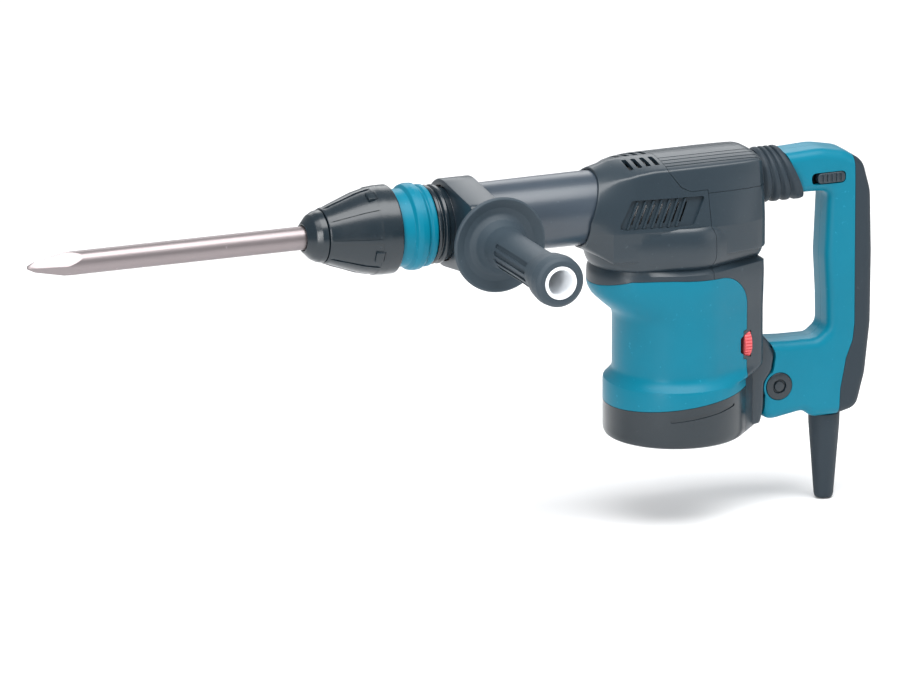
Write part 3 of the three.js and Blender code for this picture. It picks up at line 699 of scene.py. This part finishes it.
def clamp_block():
    circles = [(0, TOOL_Z, 33.8), (CLAMP_REACH + 4, TOOL_Z + 23, 4), (CLAMP_REACH + 4, TOOL_Z - 23, 4)]
    outline = stretched(circles, 120)
    loops = []
    for x, inset in ((CLAMP_FROM, 1.2), (CLAMP_FROM + 0.4, 0.4), (CLAMP_FROM + 1.2, 0), (CLAMP_TO - 1.2, 0),
                     (CLAMP_TO - 0.4, 0.4), (CLAMP_TO, 1.2)):
        loops.append([(x, p.x, p.y) for p in grown(outline, -inset)])
    body = solid(loft(loops))
    hub_line = [(46, 0, 0), (46, 13.4, 0.8), (58, 13.4, 0.8), (58, 0, 0)]
    hub = turned(hub_line, "-y", (GRIP_X, 0, TOOL_Z), closed=False)
    bore = rod(29.1, -20, 40, "x", (-185, 0, TOOL_Z))
    bolt_way = rod(5.8, 20, 70, "-y", (GRIP_X, 0, TOOL_Z))
    ear_room = block((-187.6, -46, TOOL_Z - 8.4), (-168.4, -20, TOOL_Z + 8.4))
    return cut(join(body, hub), bore, bolt_way, ear_room)


piece("side_clamp_block", clamp_block(), "side_clamp", ["clamp_block"], DARK, smooth=30)

# %% Side grip


def round_grip(bm, angle):
    centre = Matrix.Translation((GRIP_X, 0, TOOL_Z))
    turn = Matrix.Rotation(math.radians(angle), 4, "Y")
    bmesh.ops.transform(bm, matrix=centre @ turn @ centre.inverted(), verts=bm.verts)
    return bm


def grip_groove(angle):
    """One long groove with round ends, cut into the side of the hand area."""
    outline = filleted([(-1.7, -160, 1.6), (1.7, -160, 1.6), (1.7, -99, 1.6), (-1.7, -99, 1.6)])
    tool = prism([(GRIP_X + p.x, p.y) for p in outline], "z", TOOL_Z + 13.9, TOOL_Z + 22)
    return round_grip(tool, angle)


def side_grip():
    grip = turned(
        [
            (60, 5.8, 0.3),
            (60, 15.5, 1),
            (66, 26, 6),
            (71.4, 33.4, 4),
            (73, 36.8, 1.4),
            (75.6, 36.9, 1.2),
            (76.6, 35.4, 1),
            (73.6, 28.6, 2.5),
            (73.0, 23.5, 2.5),
            (76.4, 19.8, 3),
            (84, 16.4, 6),
            (96, 15.3, 8),
            (140, 15.2, 30),
            (162, 15.8, 16),
            (173, 18.7, 9),
            (183, 20, 8),
            (190.5, 19.3, 3),
            (193, 16.6, 1.6),
            (193, 13, 0.4),
            (98, 13, 0.5),
            (98, 5.8, 0.3),
        ],
        "-y",
        (GRIP_X, 0, TOOL_Z),
        steps=128,
    )
    grip = solid(grip)
    for side in (-96, 84):
        for offset in (-33, -11, 11, 33):
            grip = cut(grip, grip_groove(side + offset))
    return grip


def grip_core():
    return turned(
        [
            (98.4, 5.8, 0.3),
            (98.4, 12.7, 0.3),
            (193.4, 12.7, 0.5),
            (193.4, 10.1, 0.7),
            (101.4, 10.1, 1.5),
            (101.4, 5.8, 0.3),
        ],
        "-y",
        (GRIP_X, 0, TOOL_Z),
    )


piece("side_grip_rubber", side_grip(), "grip", ["side_grip"], RUBBER, smooth=28)
piece("grip_inner_tube", grip_core(), "grip", ["grip_core"], WHITE)

# %% [markdown]
# ## The housing
# One smooth body is lofted first: the motor can with its flared foot and shoulders, a rounded belt
# round it, and the crank case on top with its creased roof. It is then hollowed and divided along the
# real seams into five mouldings. Dividing one body keeps every neighbour flush with the next.

# %% Levels of the motor can and the belt
MOTOR_R, CAP_R, REAR_X = 48.0, 55.0, 64.0
AROUND = 150


def rear_corners(half, inset):
    return [(REAR_X - 8, half, 8 - inset), (REAR_X - 8, -half, 8 - inset)]


def cap_plan(inset):
    waist = [(44, side * 24, max(6 - inset, 0.5)) for side in (1, -1)]
    return stretched([(0, 0, CAP_R - inset), *waist, *rear_corners(8, min(inset, 7.5))], AROUND)


def motor_plan(inset):
    return stretched([(0, 0, MOTOR_R - inset), *rear_corners(20, min(inset, 7.5))], AROUND)


def shoulder_plan(inset, out=0.0):
    radii = 37.6 - inset + out, MOTOR_R - inset + out
    return stretched([(-31, 0, radii[0]), (0, 0, radii[1]), *rear_corners(20 + out, min(inset, 7.5))], AROUND)


def mixed(one, other, t):
    return [p.lerp(q, t) for p, q in zip(one, other)]


def belt_inset(z):
    """How far the belt's surface lies inside its widest line: a half round, 17 mm high each way."""
    t = max(-1.0, min(1.0, (z - 155.5) / 17))
    return 6.5 * (1 - math.sqrt(1 - t * t))


def belt_plan(inset):
    radii = 42 - inset, 49 - inset
    return stretched([(-31, 0, radii[0]), (0, 0, radii[1]), *rear_corners(21, min(inset, 7.5))], AROUND)


def lower_body(inset):
    levels = [
        (0 + inset, cap_plan(inset + 6.0)),
        (0.5 + inset, cap_plan(inset + 3.4)),
        (1.8 + inset, cap_plan(inset + 1.5)),
        (4.0 + inset, cap_plan(inset + 0.4)),
        (7.0 + inset, cap_plan(inset)),
        (24, cap_plan(inset)),
        (43.0, cap_plan(inset)),
        (45.2, cap_plan(inset + 0.5)),
    ]
    for z, t in ((46.6, 0.25), (48.6, 0.5), (50.6, 0.75), (52.4, 0.92), (54.4, 0.99)):
        levels.append((z, mixed(cap_plan(inset), motor_plan(inset), t)))
    levels += [(57, motor_plan(inset)), (76, motor_plan(inset)), (94, motor_plan(inset))]
    for z, t in ((98, 0.03), (101, 0.12), (104, 0.27), (108, 0.48), (112, 0.68), (116, 0.85), (120, 0.95)):
        levels.append((z, mixed(motor_plan(inset), shoulder_plan(inset, 1.6), t)))
    levels += [(z, shoulder_plan(inset, out)) for z, out in ((124, 1.7), (131, 1.7), (136, 1.2))]
    for z in (139.2, 140.2, 141.8, 144, 147, 151, 155.5, 160, 164, 167, 169.2, 170.8, 171.8):
        levels.append((z, belt_plan(inset + belt_inset(z))))
    return loft([[(p.x, p.y, z) for p in plan] for z, plan in levels])


print("lower body has", AROUND, "points a level")

# %% Sections of the crank case
WALL_HALF = [(-82, 28.5), (-66, 33), (-45, 38.5), (-20, 42), (0, 43), (25, 43), (45, 39.5), (56, 35.5)]
WALL_HALF += [(64, 29)]
CREASE_HALF = [(-82, 15), (-64, 20), (-51, 29), (-40, 30.2), (-10, 31), (30, 31), (56, 29.5), (64, 25.5)]
CREASE_Z = [(-82, 205), (-64, 208), (-51, 212), (-36, 215.6), (64, 216.2)]
CREST_Z = [(-82, 213.6), (-69, 214.6), (-56, 220.2), (-50, 221), (52, 221), (60, 219.4), (64, 216.8)]
STEPS = {"roof": 12, "wall": 16, "skirt": 6, "floor": 6}


def along(table, x):
    """Reads a smooth value from a short table of (x, value)."""
    if x <= table[0][0]:
        return table[0][1]
    for (x0, v0), (x1, v1) in zip(table, table[1:]):
        if x <= x1:
            return v0 + (v1 - v0) * (x - x0) / (x1 - x0)
    return table[-1][1]


def half_section(x, inset):
    crest, crease_z = along(CREST_Z, x), along(CREASE_Z, x)
    crease, wall = along(CREASE_HALF, x), along(WALL_HALF, x)
    corners = [
        (0, crest - inset, 0),
        (crease - inset, crease_z - inset, 3.2),
        (wall - inset, 171, 2),
        (wall - inset, 148, 2),
        (0, 148, 0),
    ]
    counts = list(STEPS.values())
    rounded = filleted(corners, steps=4, closed=False)
    runs = [rounded[a:b] for a, b in ((0, 2), (1, 6), (5, 7), (6, 11), (10, 12), (11, 16), (15, 17))]
    points = []
    for number, run in enumerate(runs):
        if number % 2 == 0:
            steps = counts[number // 2]
            points += [run[0].lerp(run[-1], k / steps) for k in range(steps)]
        else:
            points += run[:-1]
    points.append(Vector((0, 148)))
    for p in points:
        bulge = math.sin(math.pi * min(1.0, abs(p.x) / max(crease, 1))) if p.y > crease_z - 1 else 0
        p.y += 0.9 * bulge
    return points


def ring_section(radius):
    total = len(half_section(0, 0))
    angles = [math.pi * k / (total - 1) for k in range(total)]
    return [Vector((radius * math.sin(a), TOOL_Z + radius * math.cos(a))) for a in angles]


def upper_body(inset):
    stations = [(-82, -69.5, "ring", 30.2), (-80.8, -68.2, "ring", 30.8)]
    stations += [(-66, -56, "case", 0), (-56, -49, "case", 0), (-45, -42, "case", 0)]
    stations += [(x, x, "case", 0) for x in (-30, -15, 0, 15, 30, 45, 52, 57)]
    stations += [(61, 60.4, "case", 1.2), (63.2, 62.6, "case", 3.2), (64, 63.4, "case", 5.4)]
    loops = []
    for side_x, top_x, kind, extra in stations:
        side_x += inset if side_x < -60 else -inset if side_x > 60 else 0
        half = ring_section(extra - inset) if kind == "ring" else half_section(top_x, inset + extra)
        both = half + [Vector((-p.x, p.y)) for p in half[-2:0:-1]]
        loop = []
        for p in both:
            share = max(0.0, min(1.0, (p.y - 180) / 34))
            loop.append((side_x + (top_x - side_x) * share, p.x, p.y))
        loops.append(loop)
    return loft(loops)


def body(inset):
    return join(solid(lower_body(inset)), upper_body(inset))


# %% Seams: side outlines of the mouldings
WALL = 2.8
FAR = 140
GAP = 0.35
BELLOWS_Z = 196
DIAL_X, DIAL_Y, DIAL_Z = 43.6, -24.0, 72.6


def cap_top(x):
    return 34 + 0.12 * x


TEAL_EDGE = 45.7


def teal_outline(more=0.0):
    corner = [
        (18 + (27.7 + more) * math.cos(math.radians(a)), 103 + (27.7 + more) * math.sin(math.radians(a)))
        for a in range(0, 91, 9)
    ]
    return [
        (-FAR, cap_top(-FAR) + GAP - more),
        (TEAL_EDGE + more, cap_top(TEAL_EDGE) + GAP - more),
        (TEAL_EDGE + more, 60.6 + more),
        (42.4 + more, 61.6 + more),
        (42.4 + more, 83.6 - more),
        (TEAL_EDGE + more, 84.6 - more),
        *corner,
        (-20, 132.0 + more),
        (-50, 131.6 + more),
        (-66, 127 + more),
        (-FAR, 104 + more),
    ]


def cap_outline(more=0.0):
    return [
        (-FAR, -20),
        (TEAL_EDGE + more, -20),
        (TEAL_EDGE + more, cap_top(TEAL_EDGE) + more),
        (-FAR, cap_top(-FAR) + more),
    ]


def roof_outline(more=0.0):
    corners = [
        (-18.5 - more, 260, 0),
        (-18.5 - more, 214.5, 1),
        (-9.5 - more, 202.4 - more, 5),
        (-2, 198.6 - more, 4),
        (12 - more, 198.9 - more, 1),
        (12 - more, 196.3 - more, 0.4),
        (FAR, 196.3 - more, 0),
        (FAR, 260, 0),
    ]
    return filleted(corners, steps=4)


def region(outline):
    return prism(outline, "y", -100, 100)


def front_region(more=0.0):
    edge = 12 - GAP + more
    step = [(edge, 141), (edge + 2.6, 147), (edge + 2.6, 165), (edge, 171)]
    return region([(-FAR, 90), (edge, 90), *step, (edge, 260), (-FAR, 260)])


# %% Hollow the body and carve its details
shell = cut(body(0), body(WALL))
print("hollow body", len(shell.data.polygons), "faces")


def dial_room():
    return rod(12.7, -4, 6.4, "x", (DIAL_X, DIAL_Y, DIAL_Z))


def side_pocket(side):
    """The slanted vent pocket in the side wall, 2.4 mm deep."""
    corners = [(-62, 174, 3), (-3, 173.4, 3), (9.2, 194.6, 2), (-49.5, 195.6, 3)]
    outline = filleted(corners, steps=5)
    low, high = sorted((side * 20, side * 70))
    return cut(solid(prism(outline, "y", low, high)), upper_body(2.4))


def louvres(side):
    """Slanted fins that stand in the pocket, with slots between them."""
    fins, slots = [], []
    for number in range(7):
        x = -55.5 + 6.4 * number
        low, high = sorted((side * 24, side * 60))
        lean = 9.6
        fins.append([(x, 174.2), (x + 1.5, 174.2), (x + 1.5 + lean, 194.2), (x + lean, 194.2)])
        near, far, top = x + 2.7, x + 5.2, lean * 0.72
        slots.append([(near, 177), (far, 177), (far + top, 191), (near + top, 191)])
    made = [common(solid(prism(fin, "y", low, high)), upper_body(0.7)) for fin in fins]
    holes = [prism(slot, "y", low, high) for slot in slots]
    return made, holes


def front_housing():
    part = common(copied(shell), front_region())
    part = cut(part, region(teal_outline(GAP)), region(roof_outline(GAP)))
    part = cut(part, rod(28.9, -60, 24, "x", (-85, 0, TOOL_Z)))
    inner = solid(upper_body(WALL - 0.3))
    for side in (-1, 1):
        part = cut(part, side_pocket(side))
        fins, holes = louvres(side)
        for fin in fins:
            part = join(part, cut(fin, copied(inner)))
        part = cut(part, *holes)
        for number in range(4):
            x = -47 + 7.2 * number
            low, high = sorted((side * 4.5, side * 21))
            part = cut(part, block((x, low, 210), (x + 3.8, high, 230), 1.0))
    bpy.data.objects.remove(inner)
    return part


front_part = front_housing()
piece("front_housing_moulding", front_part, "hammer", ["front_housing"], DARK, smooth=26)

# %% Roof cover, with its fine ridges


def roof_cover():
    part = common(copied(shell), region(roof_outline()))
    for side in (-1, 1):
        for y in (9.0, 14.5, 20.0, 24.5):
            low, high = sorted((side * y, side * (y + 1.0)))
            tool = solid(block((-60, low, 190), (80, high, 240)))
            part = cut(part, cut(tool, upper_body(0.55)))
    hole = rod(11, 0, 40, "x", (45, 0, BELLOWS_Z))
    return cut(part, hole)


piece("roof_cover", roof_cover(), "hammer", ["top_rear_cover"], DARK, smooth=26)

# %% Rear housing, with the lobes round the handle's pivot
PIVOT_X, PIVOT_Z = 80.0, 31.5
EYE, EYE_ROOM, BOLT_HOLE = 12.6, 13.7, 4.4


def disc_tool(radius, low, high):
    """A disc round the handle's pivot."""
    return rod(radius, low, high, "-y", (PIVOT_X, 0, PIVOT_Z))


def room_to_shrink(outline, radius):
    """The share of an inward move that each point can make before its corner would fold over."""
    count, reach, shares = len(outline), 3, []
    for i, here in enumerate(outline):
        before, after = here - outline[i - reach], outline[(i + reach) % count] - here
        left_turn = -before.angle_signed(after)
        bend = left_turn / (before.length + after.length) * 2
        shares.append(min(1.0, 0.7 / (bend * radius)) if bend > 0.01 else 1.0)
    lowest = [min(shares[(i + k) % count] for k in range(-4, 5)) for i in range(count)]
    return [sum(lowest[(i + k) % count] for k in range(-4, 5)) / 9 for i in range(count)]


def rounded_slab(corners, half, radius, spacing=1.6, steps=6):
    """A thick plate with rounded edges: its outline (x, z, fillet) is the widest line."""
    points = filleted(corners)
    length = sum((q - p).length for p, q in zip(points, points[1:] + points[:1]))
    wide = shared_out(points, int(length / spacing))
    if sum(p.x * q.y - q.x * p.y for p, q in zip(wide, wide[1:] + wide[:1])) < 0:
        wide.reverse()
    inward = [q - p for p, q in zip(wide, grown(wide, -1.0))]
    shares = room_to_shrink(wide, radius)
    loops = []
    for side in (-1, 1):
        for step in range(steps + 1)[::side]:
            angle = math.pi / 2 * step / steps
            y = side * (half - radius + radius * math.sin(angle))
            shrink = radius * (1 - math.cos(angle))
            ring = [p + way * shrink * share for p, way, share in zip(wide, inward, shares)]
            loops.append([(p.x, y, p.y) for p in ring])
    return loft(loops)


LOBE = [(50, 84, 0), (64, 76, 4), (70.5, 69, 4), (75.6, 56.5, 5), (73.6, 44.5, 5), (67.6, 36, 4)]
LOBE += [(67.0, 16, 4), (64.2, 4, 3), (50, 2, 0)]
LUG = [(50, 16, 0), (80, 20.6, 10.8), (91, 31.5, 10.8), (80, 42.4, 10.8), (50, 50, 0)]


def rear_housing():
    keep = prism([(12, -20), (FAR, -20), (FAR, 260), (12, 260)], "y", -100, 100)
    part = common(copied(shell), keep)
    part = cut(part, front_region(GAP))
    part = cut(part, *[region(outline(GAP)) for outline in (teal_outline, roof_outline, cap_outline)])
    lobe = solid(rounded_slab(LOBE, 19, 4))
    lobe = cut(lobe, disc_tool(EYE_ROOM, 7.6, 40), disc_tool(EYE_ROOM, -40, -7.6))
    lobe = join(lobe, rounded_slab(LUG, 7.3, 1.2))
    lobe = cut(lobe, body(WALL))
    part = join(part, lobe)
    hole = rod(11, 0, 40, "x", (45, 0, BELLOWS_Z))
    return cut(part, hole, dial_room(), disc_tool(BOLT_HOLE, -30, 30))


piece("rear_housing_moulding", rear_housing(), "hammer", ["rear_housing"], DARK, smooth=26)

# %% Teal motor can


def motor_can():
    part = common(copied(shell), region(teal_outline()))
    return cut(part, dial_room())


piece("motor_can", motor_can(), "hammer", ["motor_housing"], TEAL, smooth=26)

# %% Motor cap, with a shallow step on each side and screw pockets
CAP_SCREWS = [(-36, -26), (-36, 26), (32, -28), (32, 28)]


def motor_cap():
    part = common(copied(shell), region(cap_outline()))
    for side in (-1, 1):
        low, high = sorted((side * 30, side * 80))
        corners = [(-24, 24.6, 2), (-24, 21.6, 1), (16, 26.6, 1), (30, 29.4, 1), (30, 31.4, 1), (16, 29.6, 1)]
        step = filleted(corners)
        tool = solid(prism(step, "y", low, high))
        part = cut(part, cut(tool, lower_body(0.7)))
    for x, y in CAP_SCREWS:
        part = cut(part, rod(3.9, -4, 12, "z", (x, y, 0), 32))
    return part


piece("motor_cap_moulding", motor_cap(), "hammer", ["motor_cap"], DARK_GLOSS, smooth=26)
bpy.data.objects.remove(shell)

# %% Speed dial


def speed_dial():
    rim = [(0, 11.4, 0.6), (0.5, 12, 0.4), (5.3, 12, 0.4), (5.8, 11.4, 0.6)]
    profile = [(0, 2.4, 0.2), *rim, (5.8, 2.4, 0.2)]
    wheel = solid(turned(profile, "x", (DIAL_X, DIAL_Y, DIAL_Z)))
    centre = Matrix.Translation((DIAL_X, DIAL_Y, DIAL_Z))
    for number in range(30):
        notch = block((-1, -0.45, 11.2), (7, 0.45, 13))
        turn = centre @ Matrix.Rotation(math.radians(12 * number), 4, "X")
        bmesh.ops.transform(notch, matrix=turn, verts=notch.verts)
        wheel = cut(wheel, notch)
    return wheel


piece("speed_thumbwheel", speed_dial(), "dial", ["speed_dial"], RED)

# %% [markdown]
# ## The rear handle
# The D-shaped handle is a plate with fully rounded edges. Its widest line is drawn with fillets, and
# loops shrink from it towards both sides along a quarter circle, so the grip feels round in the hand.
# It divides into two teal halves and a dark back strip.

# %% Handle body
HANDLE_HALF = 17.0
HANDLE = [
    (70, 213, 11),
    (115, 215, 40),
    (136, 211, 20),
    (151, 202, 16),
    (157.4, 178, 30),
    (158.6, 130, 60),
    (158, 74, 60),
    (153.6, 34, 30),
    (146.5, 7, 12),
    (130, 3, 9),
    (109, 3, 9),
    (102, 9, 9),
    (66, 3, 12),
    (66, 67, 12),
    (90, 65.4, 10),
    (113, 65, 9),
    (121.8, 72, 9),
    (121.4, 96, 30),
    (119.6, 128, 60),
    (121.0, 160, 30),
    (122.0, 181, 7),
    (70, 182, 11),
]
ROCKING_ROOM = 1.8
ARM_END = [(30, 165), (108.4, 165), (81.4, 224.6), (30, 224.6)]


def handle_body():
    handle = solid(rounded_slab(HANDLE, HANDLE_HALF, 7.5))
    lobe_room = grown(shared_out(filleted(LOBE[::-1]), 90), ROCKING_ROOM)
    handle = cut(handle, region(ARM_END), region(lobe_room), block((0, -60, -40), (66.9, 60, 150)))
    handle = join(handle, disc_tool(EYE, -16.8, 16.8))
    rooms = [
        [(98, 184.5), (148, 184.5), (148, 196), (98, 206)],
        [(125, 50), (139, 50), (139, 195), (125, 195)],
        [(96, 16), (135, 16), (139, 60), (96, 60)],
    ]
    for room in rooms:
        handle = cut(handle, prism(room, "y", -12, 12))
    handle = cut(handle, prism(filleted(LUG_ROOM), "y", -7.8, 7.8))
    handle = cut(handle, rod(11.2, -5, 20, "z", (125, 0, 0)))
    handle = cut(handle, rod(12, 0, 24, "x", (PIVOT_X, 0, BELLOWS_Z)))
    return cut(handle, disc_tool(BOLT_HOLE, -30, 30), disc_tool(11, 13.5, 30), disc_tool(11, -30, -13.5))


LUG_ROOM = [(40, 8, 0), (80, 18.9, 12), (92.8, 31.5, 12), (80, 44.1, 12), (60, 68, 0), (40, 68, 0)]
STRIP_LINE = [(141, 260), (142.2, 205), (142.5, 190), (142.5, 75), (141, 62), (135.6, 48), (131, 24)]
STRIP_LINE += [(129, -20)]


def strip_region(more=0.0):
    return region([(x + more, z) for x, z in STRIP_LINE] + [(-FAR, -20), (-FAR, 260)])


def switch_slot():
    corners = [(106.3, 187.4, 4), (134.7, 187.4, 4), (134.7, 196.8, 4), (106.3, 196.8, 4)]
    return prism(filleted(corners), "y", -30, -10)


whole_handle = handle_body()


def handle_half(side):
    half = common(copied(whole_handle), strip_region())
    low, high = (0.12, 40) if side > 0 else (-40, -0.12)
    half = common(half, block((40, low, -30), (200, high, 260)))
    return cut(half, switch_slot()) if side < 0 else half


for name, side in (("left", -1), ("right", 1)):
    half = handle_half(side)
    nodes = [f"handle_shell_{name}"]
    piece(f"handle_half_{name}", half, "rear_handle", nodes, TEAL, smooth=26)

strip = cut(whole_handle, strip_region(GAP))
piece("handle_back_overmould", strip, "rear_handle", ["handle_back_strip"], SOFT, smooth=26)

# %% Switch slider and pivot covers


def slider():
    corners = [(111.4, 188.0, 3.6), (134.2, 188.0, 3.6), (134.2, 196.2, 3.6), (111.4, 196.2, 3.6)]
    part = solid(rounded_slab(corners, 4, 1.0, spacing=0.8, steps=4))
    part.data.transform(Matrix.Translation((0, -13.4, 0)))
    for number in range(5):
        x = 115.4 + 3.7 * number
        part = join(part, block((x, -18.6, 188.9), (x + 1.5, -16.8, 195.3), 0.4))
    return part


piece("power_slider", slider(), "switch", ["switch_slider"], DARK, smooth=30)


def pivot_cover(side):
    inner = 13.9
    profile = [
        (inner, 0, 0),
        (inner, 10.6, 0.4),
        (17.4, 10.6, 0.8),
        (17.8, 5.6, 0.5),
        (16.0, 5.0, 0.3),
        (16.0, 4.2, 0.3),
        (17.8, 3.8, 0.5),
        (17.9, 0, 0),
    ]
    return turned(profile, "-y" if side < 0 else "y", (PIVOT_X, 0, PIVOT_Z), closed=False)


for name, side in (("left", -1), ("right", 1)):
    disc, nodes = pivot_cover(side), [f"pivot_cap_{name}"]
    piece(f"pivot_cover_{name}", disc, "rear_handle", nodes, DARK_GLOSS)

# %% [markdown]
# ## Bellows and cord guard
# A rubber bellows bridges the sprung joint at the top of the handle. Its folds lean more and more
# towards the handle's slanted end, so the turned shape is sheared along its length. It crosses a joint,
# so it is attached to neither body.

# %% Bellows
BELLOWS_X, BELLOWS_END = 64.4, 86.0


def bellows():
    profile = [(64.4, 15.8, 0.3), (64.4, 19.8, 0.8)]
    for number in range(4):
        start = 65.6 + 5.0 * number
        profile += [(start + 1.2, 21.5, 1.3), (start + 3.6, 21.5, 1.3), (start + 4.4, 19.0, 0.8)]
    profile[-1] = (86.0, 20.8, 0.6)
    profile += [(86.0, 15.8, 0.3)]
    bm = turned(profile, "x", (0, 0, 0), steps=96)
    for vert in bm.verts:
        share = (vert.co.x - BELLOWS_X) / (BELLOWS_END - BELLOWS_X)
        vert.co.x += share * (7.9 - 0.453 * vert.co.z)
    bmesh.ops.translate(bm, vec=(0, 0, BELLOWS_Z), verts=bm.verts)
    return bm


fold = piece("handle_bellows_rubber", bellows(), None, ["handle_bellows"], SOFT, smooth=30)
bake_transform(fold)

# %% A wound spring


def coil(node, wire, turns):
    """A round-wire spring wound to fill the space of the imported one, with closed ends."""
    low, high = (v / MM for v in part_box(node))
    middle, reach = (low + high) / 2, (high.z - low.z) / 2 - wire
    bm = bmesh.new()
    ring = bmesh.ops.create_circle(bm, segments=12, radius=wire)
    start = Matrix.Translation((low.x + wire, middle.y, middle.z + reach))
    stand = start @ Matrix.Rotation(math.pi / 2, 4, "X")
    bmesh.ops.transform(bm, matrix=stand, verts=ring["verts"])
    steps = 32 * turns
    advance = (high.x - low.x - 2 * wire) / steps
    bmesh.ops.spin(bm, geom=bm.verts[:] + bm.edges[:], cent=middle, axis=(1, 0, 0), dvec=(advance, 0, 0),
                   angle=2 * math.pi * turns, steps=steps)
    bmesh.ops.holes_fill(bm, edges=bm.edges, sides=12)
    bmesh.ops.recalc_face_normals(bm, faces=bm.faces)
    return bm


# %% Cord guard


def cord_guard():
    return turned(
        [
            (18, 4.3, 0.3),
            (18, 10.8, 0.3),
            (3, 10.8, 0.3),
            (2.6, 12.2, 0.6),
            (-6, 12.0, 2),
            (-62, 7.6, 3),
            (-65, 6.8, 1.2),
            (-65, 4.3, 0.5),
        ],
        "z",
        (125, 0, 0),
    )


piece("cord_guard_sleeve", cord_guard(), "rear_handle", ["cord_guard"], SOFT)

# %% Place the cover spring
winding = coil("cover_spring", 0.9, 4)
spring = piece("cover_return_spring", winding, "holder", ["cover_spring"], DARK_STEEL)
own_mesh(spring)

# %% [markdown]
# ## Inner parts and screws
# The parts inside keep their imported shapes: nobody sees them until the tool is opened. They still get
# their real finishes.

# %% Finishes of the inner parts
BY_SLOT = {
    "dark_steel": DARK_STEEL,
    "alloy": ALLOY,
    "white_plastic": WHITE,
    "copper": COPPER,
    "carbon": CARBON,
    "chisel_steel": STEEL,
    "black_plastic": DARK,
    "teal_plastic": TEAL,
    "rubber": SOFT,
    "red_plastic": RED,
}
for part in frame["record"]["subparts"]:
    node = frame["nodes"][part["node"]]
    node.data.materials.clear()
    node.data.materials.append(BY_SLOT[part["material_slot"]])

# %% [markdown]
# ## Floor and light
# A pale floor under a large overhead softbox, a tall strip from the front left that draws the upright
# highlight down the motor can, and a weak fill. The world is a soft white room.

# %% Floor


def floor():
    bm = bmesh.new()
    bmesh.ops.create_grid(bm, x_segments=8, y_segments=8, size=14.0)
    bmesh.ops.translate(bm, vec=(0, 0, cad_box[0].z - 0.001), verts=bm.verts)
    mesh = bpy.data.meshes.new("floor")
    bm.to_mesh(mesh)
    bm.free()
    ground = bpy.data.objects.new("floor", mesh)
    bpy.context.scene.collection.objects.link(ground)
    paint = bpy.data.materials.new("pale floor")
    paint.use_nodes = True
    shader = paint.node_tree.nodes["Principled BSDF"]
    shader.inputs["Base Color"].default_value = (0.93, 0.93, 0.93, 1)
    shader.inputs["Roughness"].default_value = 0.9
    mesh.materials.append(paint)


def softbox(name, place, size, power, target=(-0.05, 0, 0.12)):
    lamp = bpy.data.lights.new(name, "AREA")
    lamp.shape = "RECTANGLE"
    lamp.size, lamp.size_y = size
    lamp.energy = power
    holder = bpy.data.objects.new(name, lamp)
    holder.location = place
    holder.rotation_mode = "QUATERNION"
    holder.rotation_quaternion = (Vector(target) - Vector(place)).to_track_quat("-Z", "Y")
    bpy.context.scene.collection.objects.link(holder)


floor()
softbox("overhead", (-0.1, -0.5, 1.6), (2.0, 1.1), 46)
softbox("front_left_strip", (-1.5, -1.5, 0.6), (0.3, 1.5), 20)
softbox("right_fill", (1.6, -1.4, 0.7), (1.0, 1.2), 6)
softbox("behind", (0.4, 1.8, 1.2), (1.6, 1.0), 12)
world = bpy.data.worlds.new("white room")
bpy.context.scene.world = world
world.use_nodes = True
world.node_tree.nodes["Background"].inputs["Color"].default_value = (0.95, 0.97, 1.0, 1)
world.node_tree.nodes["Background"].inputs["Strength"].default_value = 0.5
bpy.context.scene.view_settings.view_transform = "Standard"
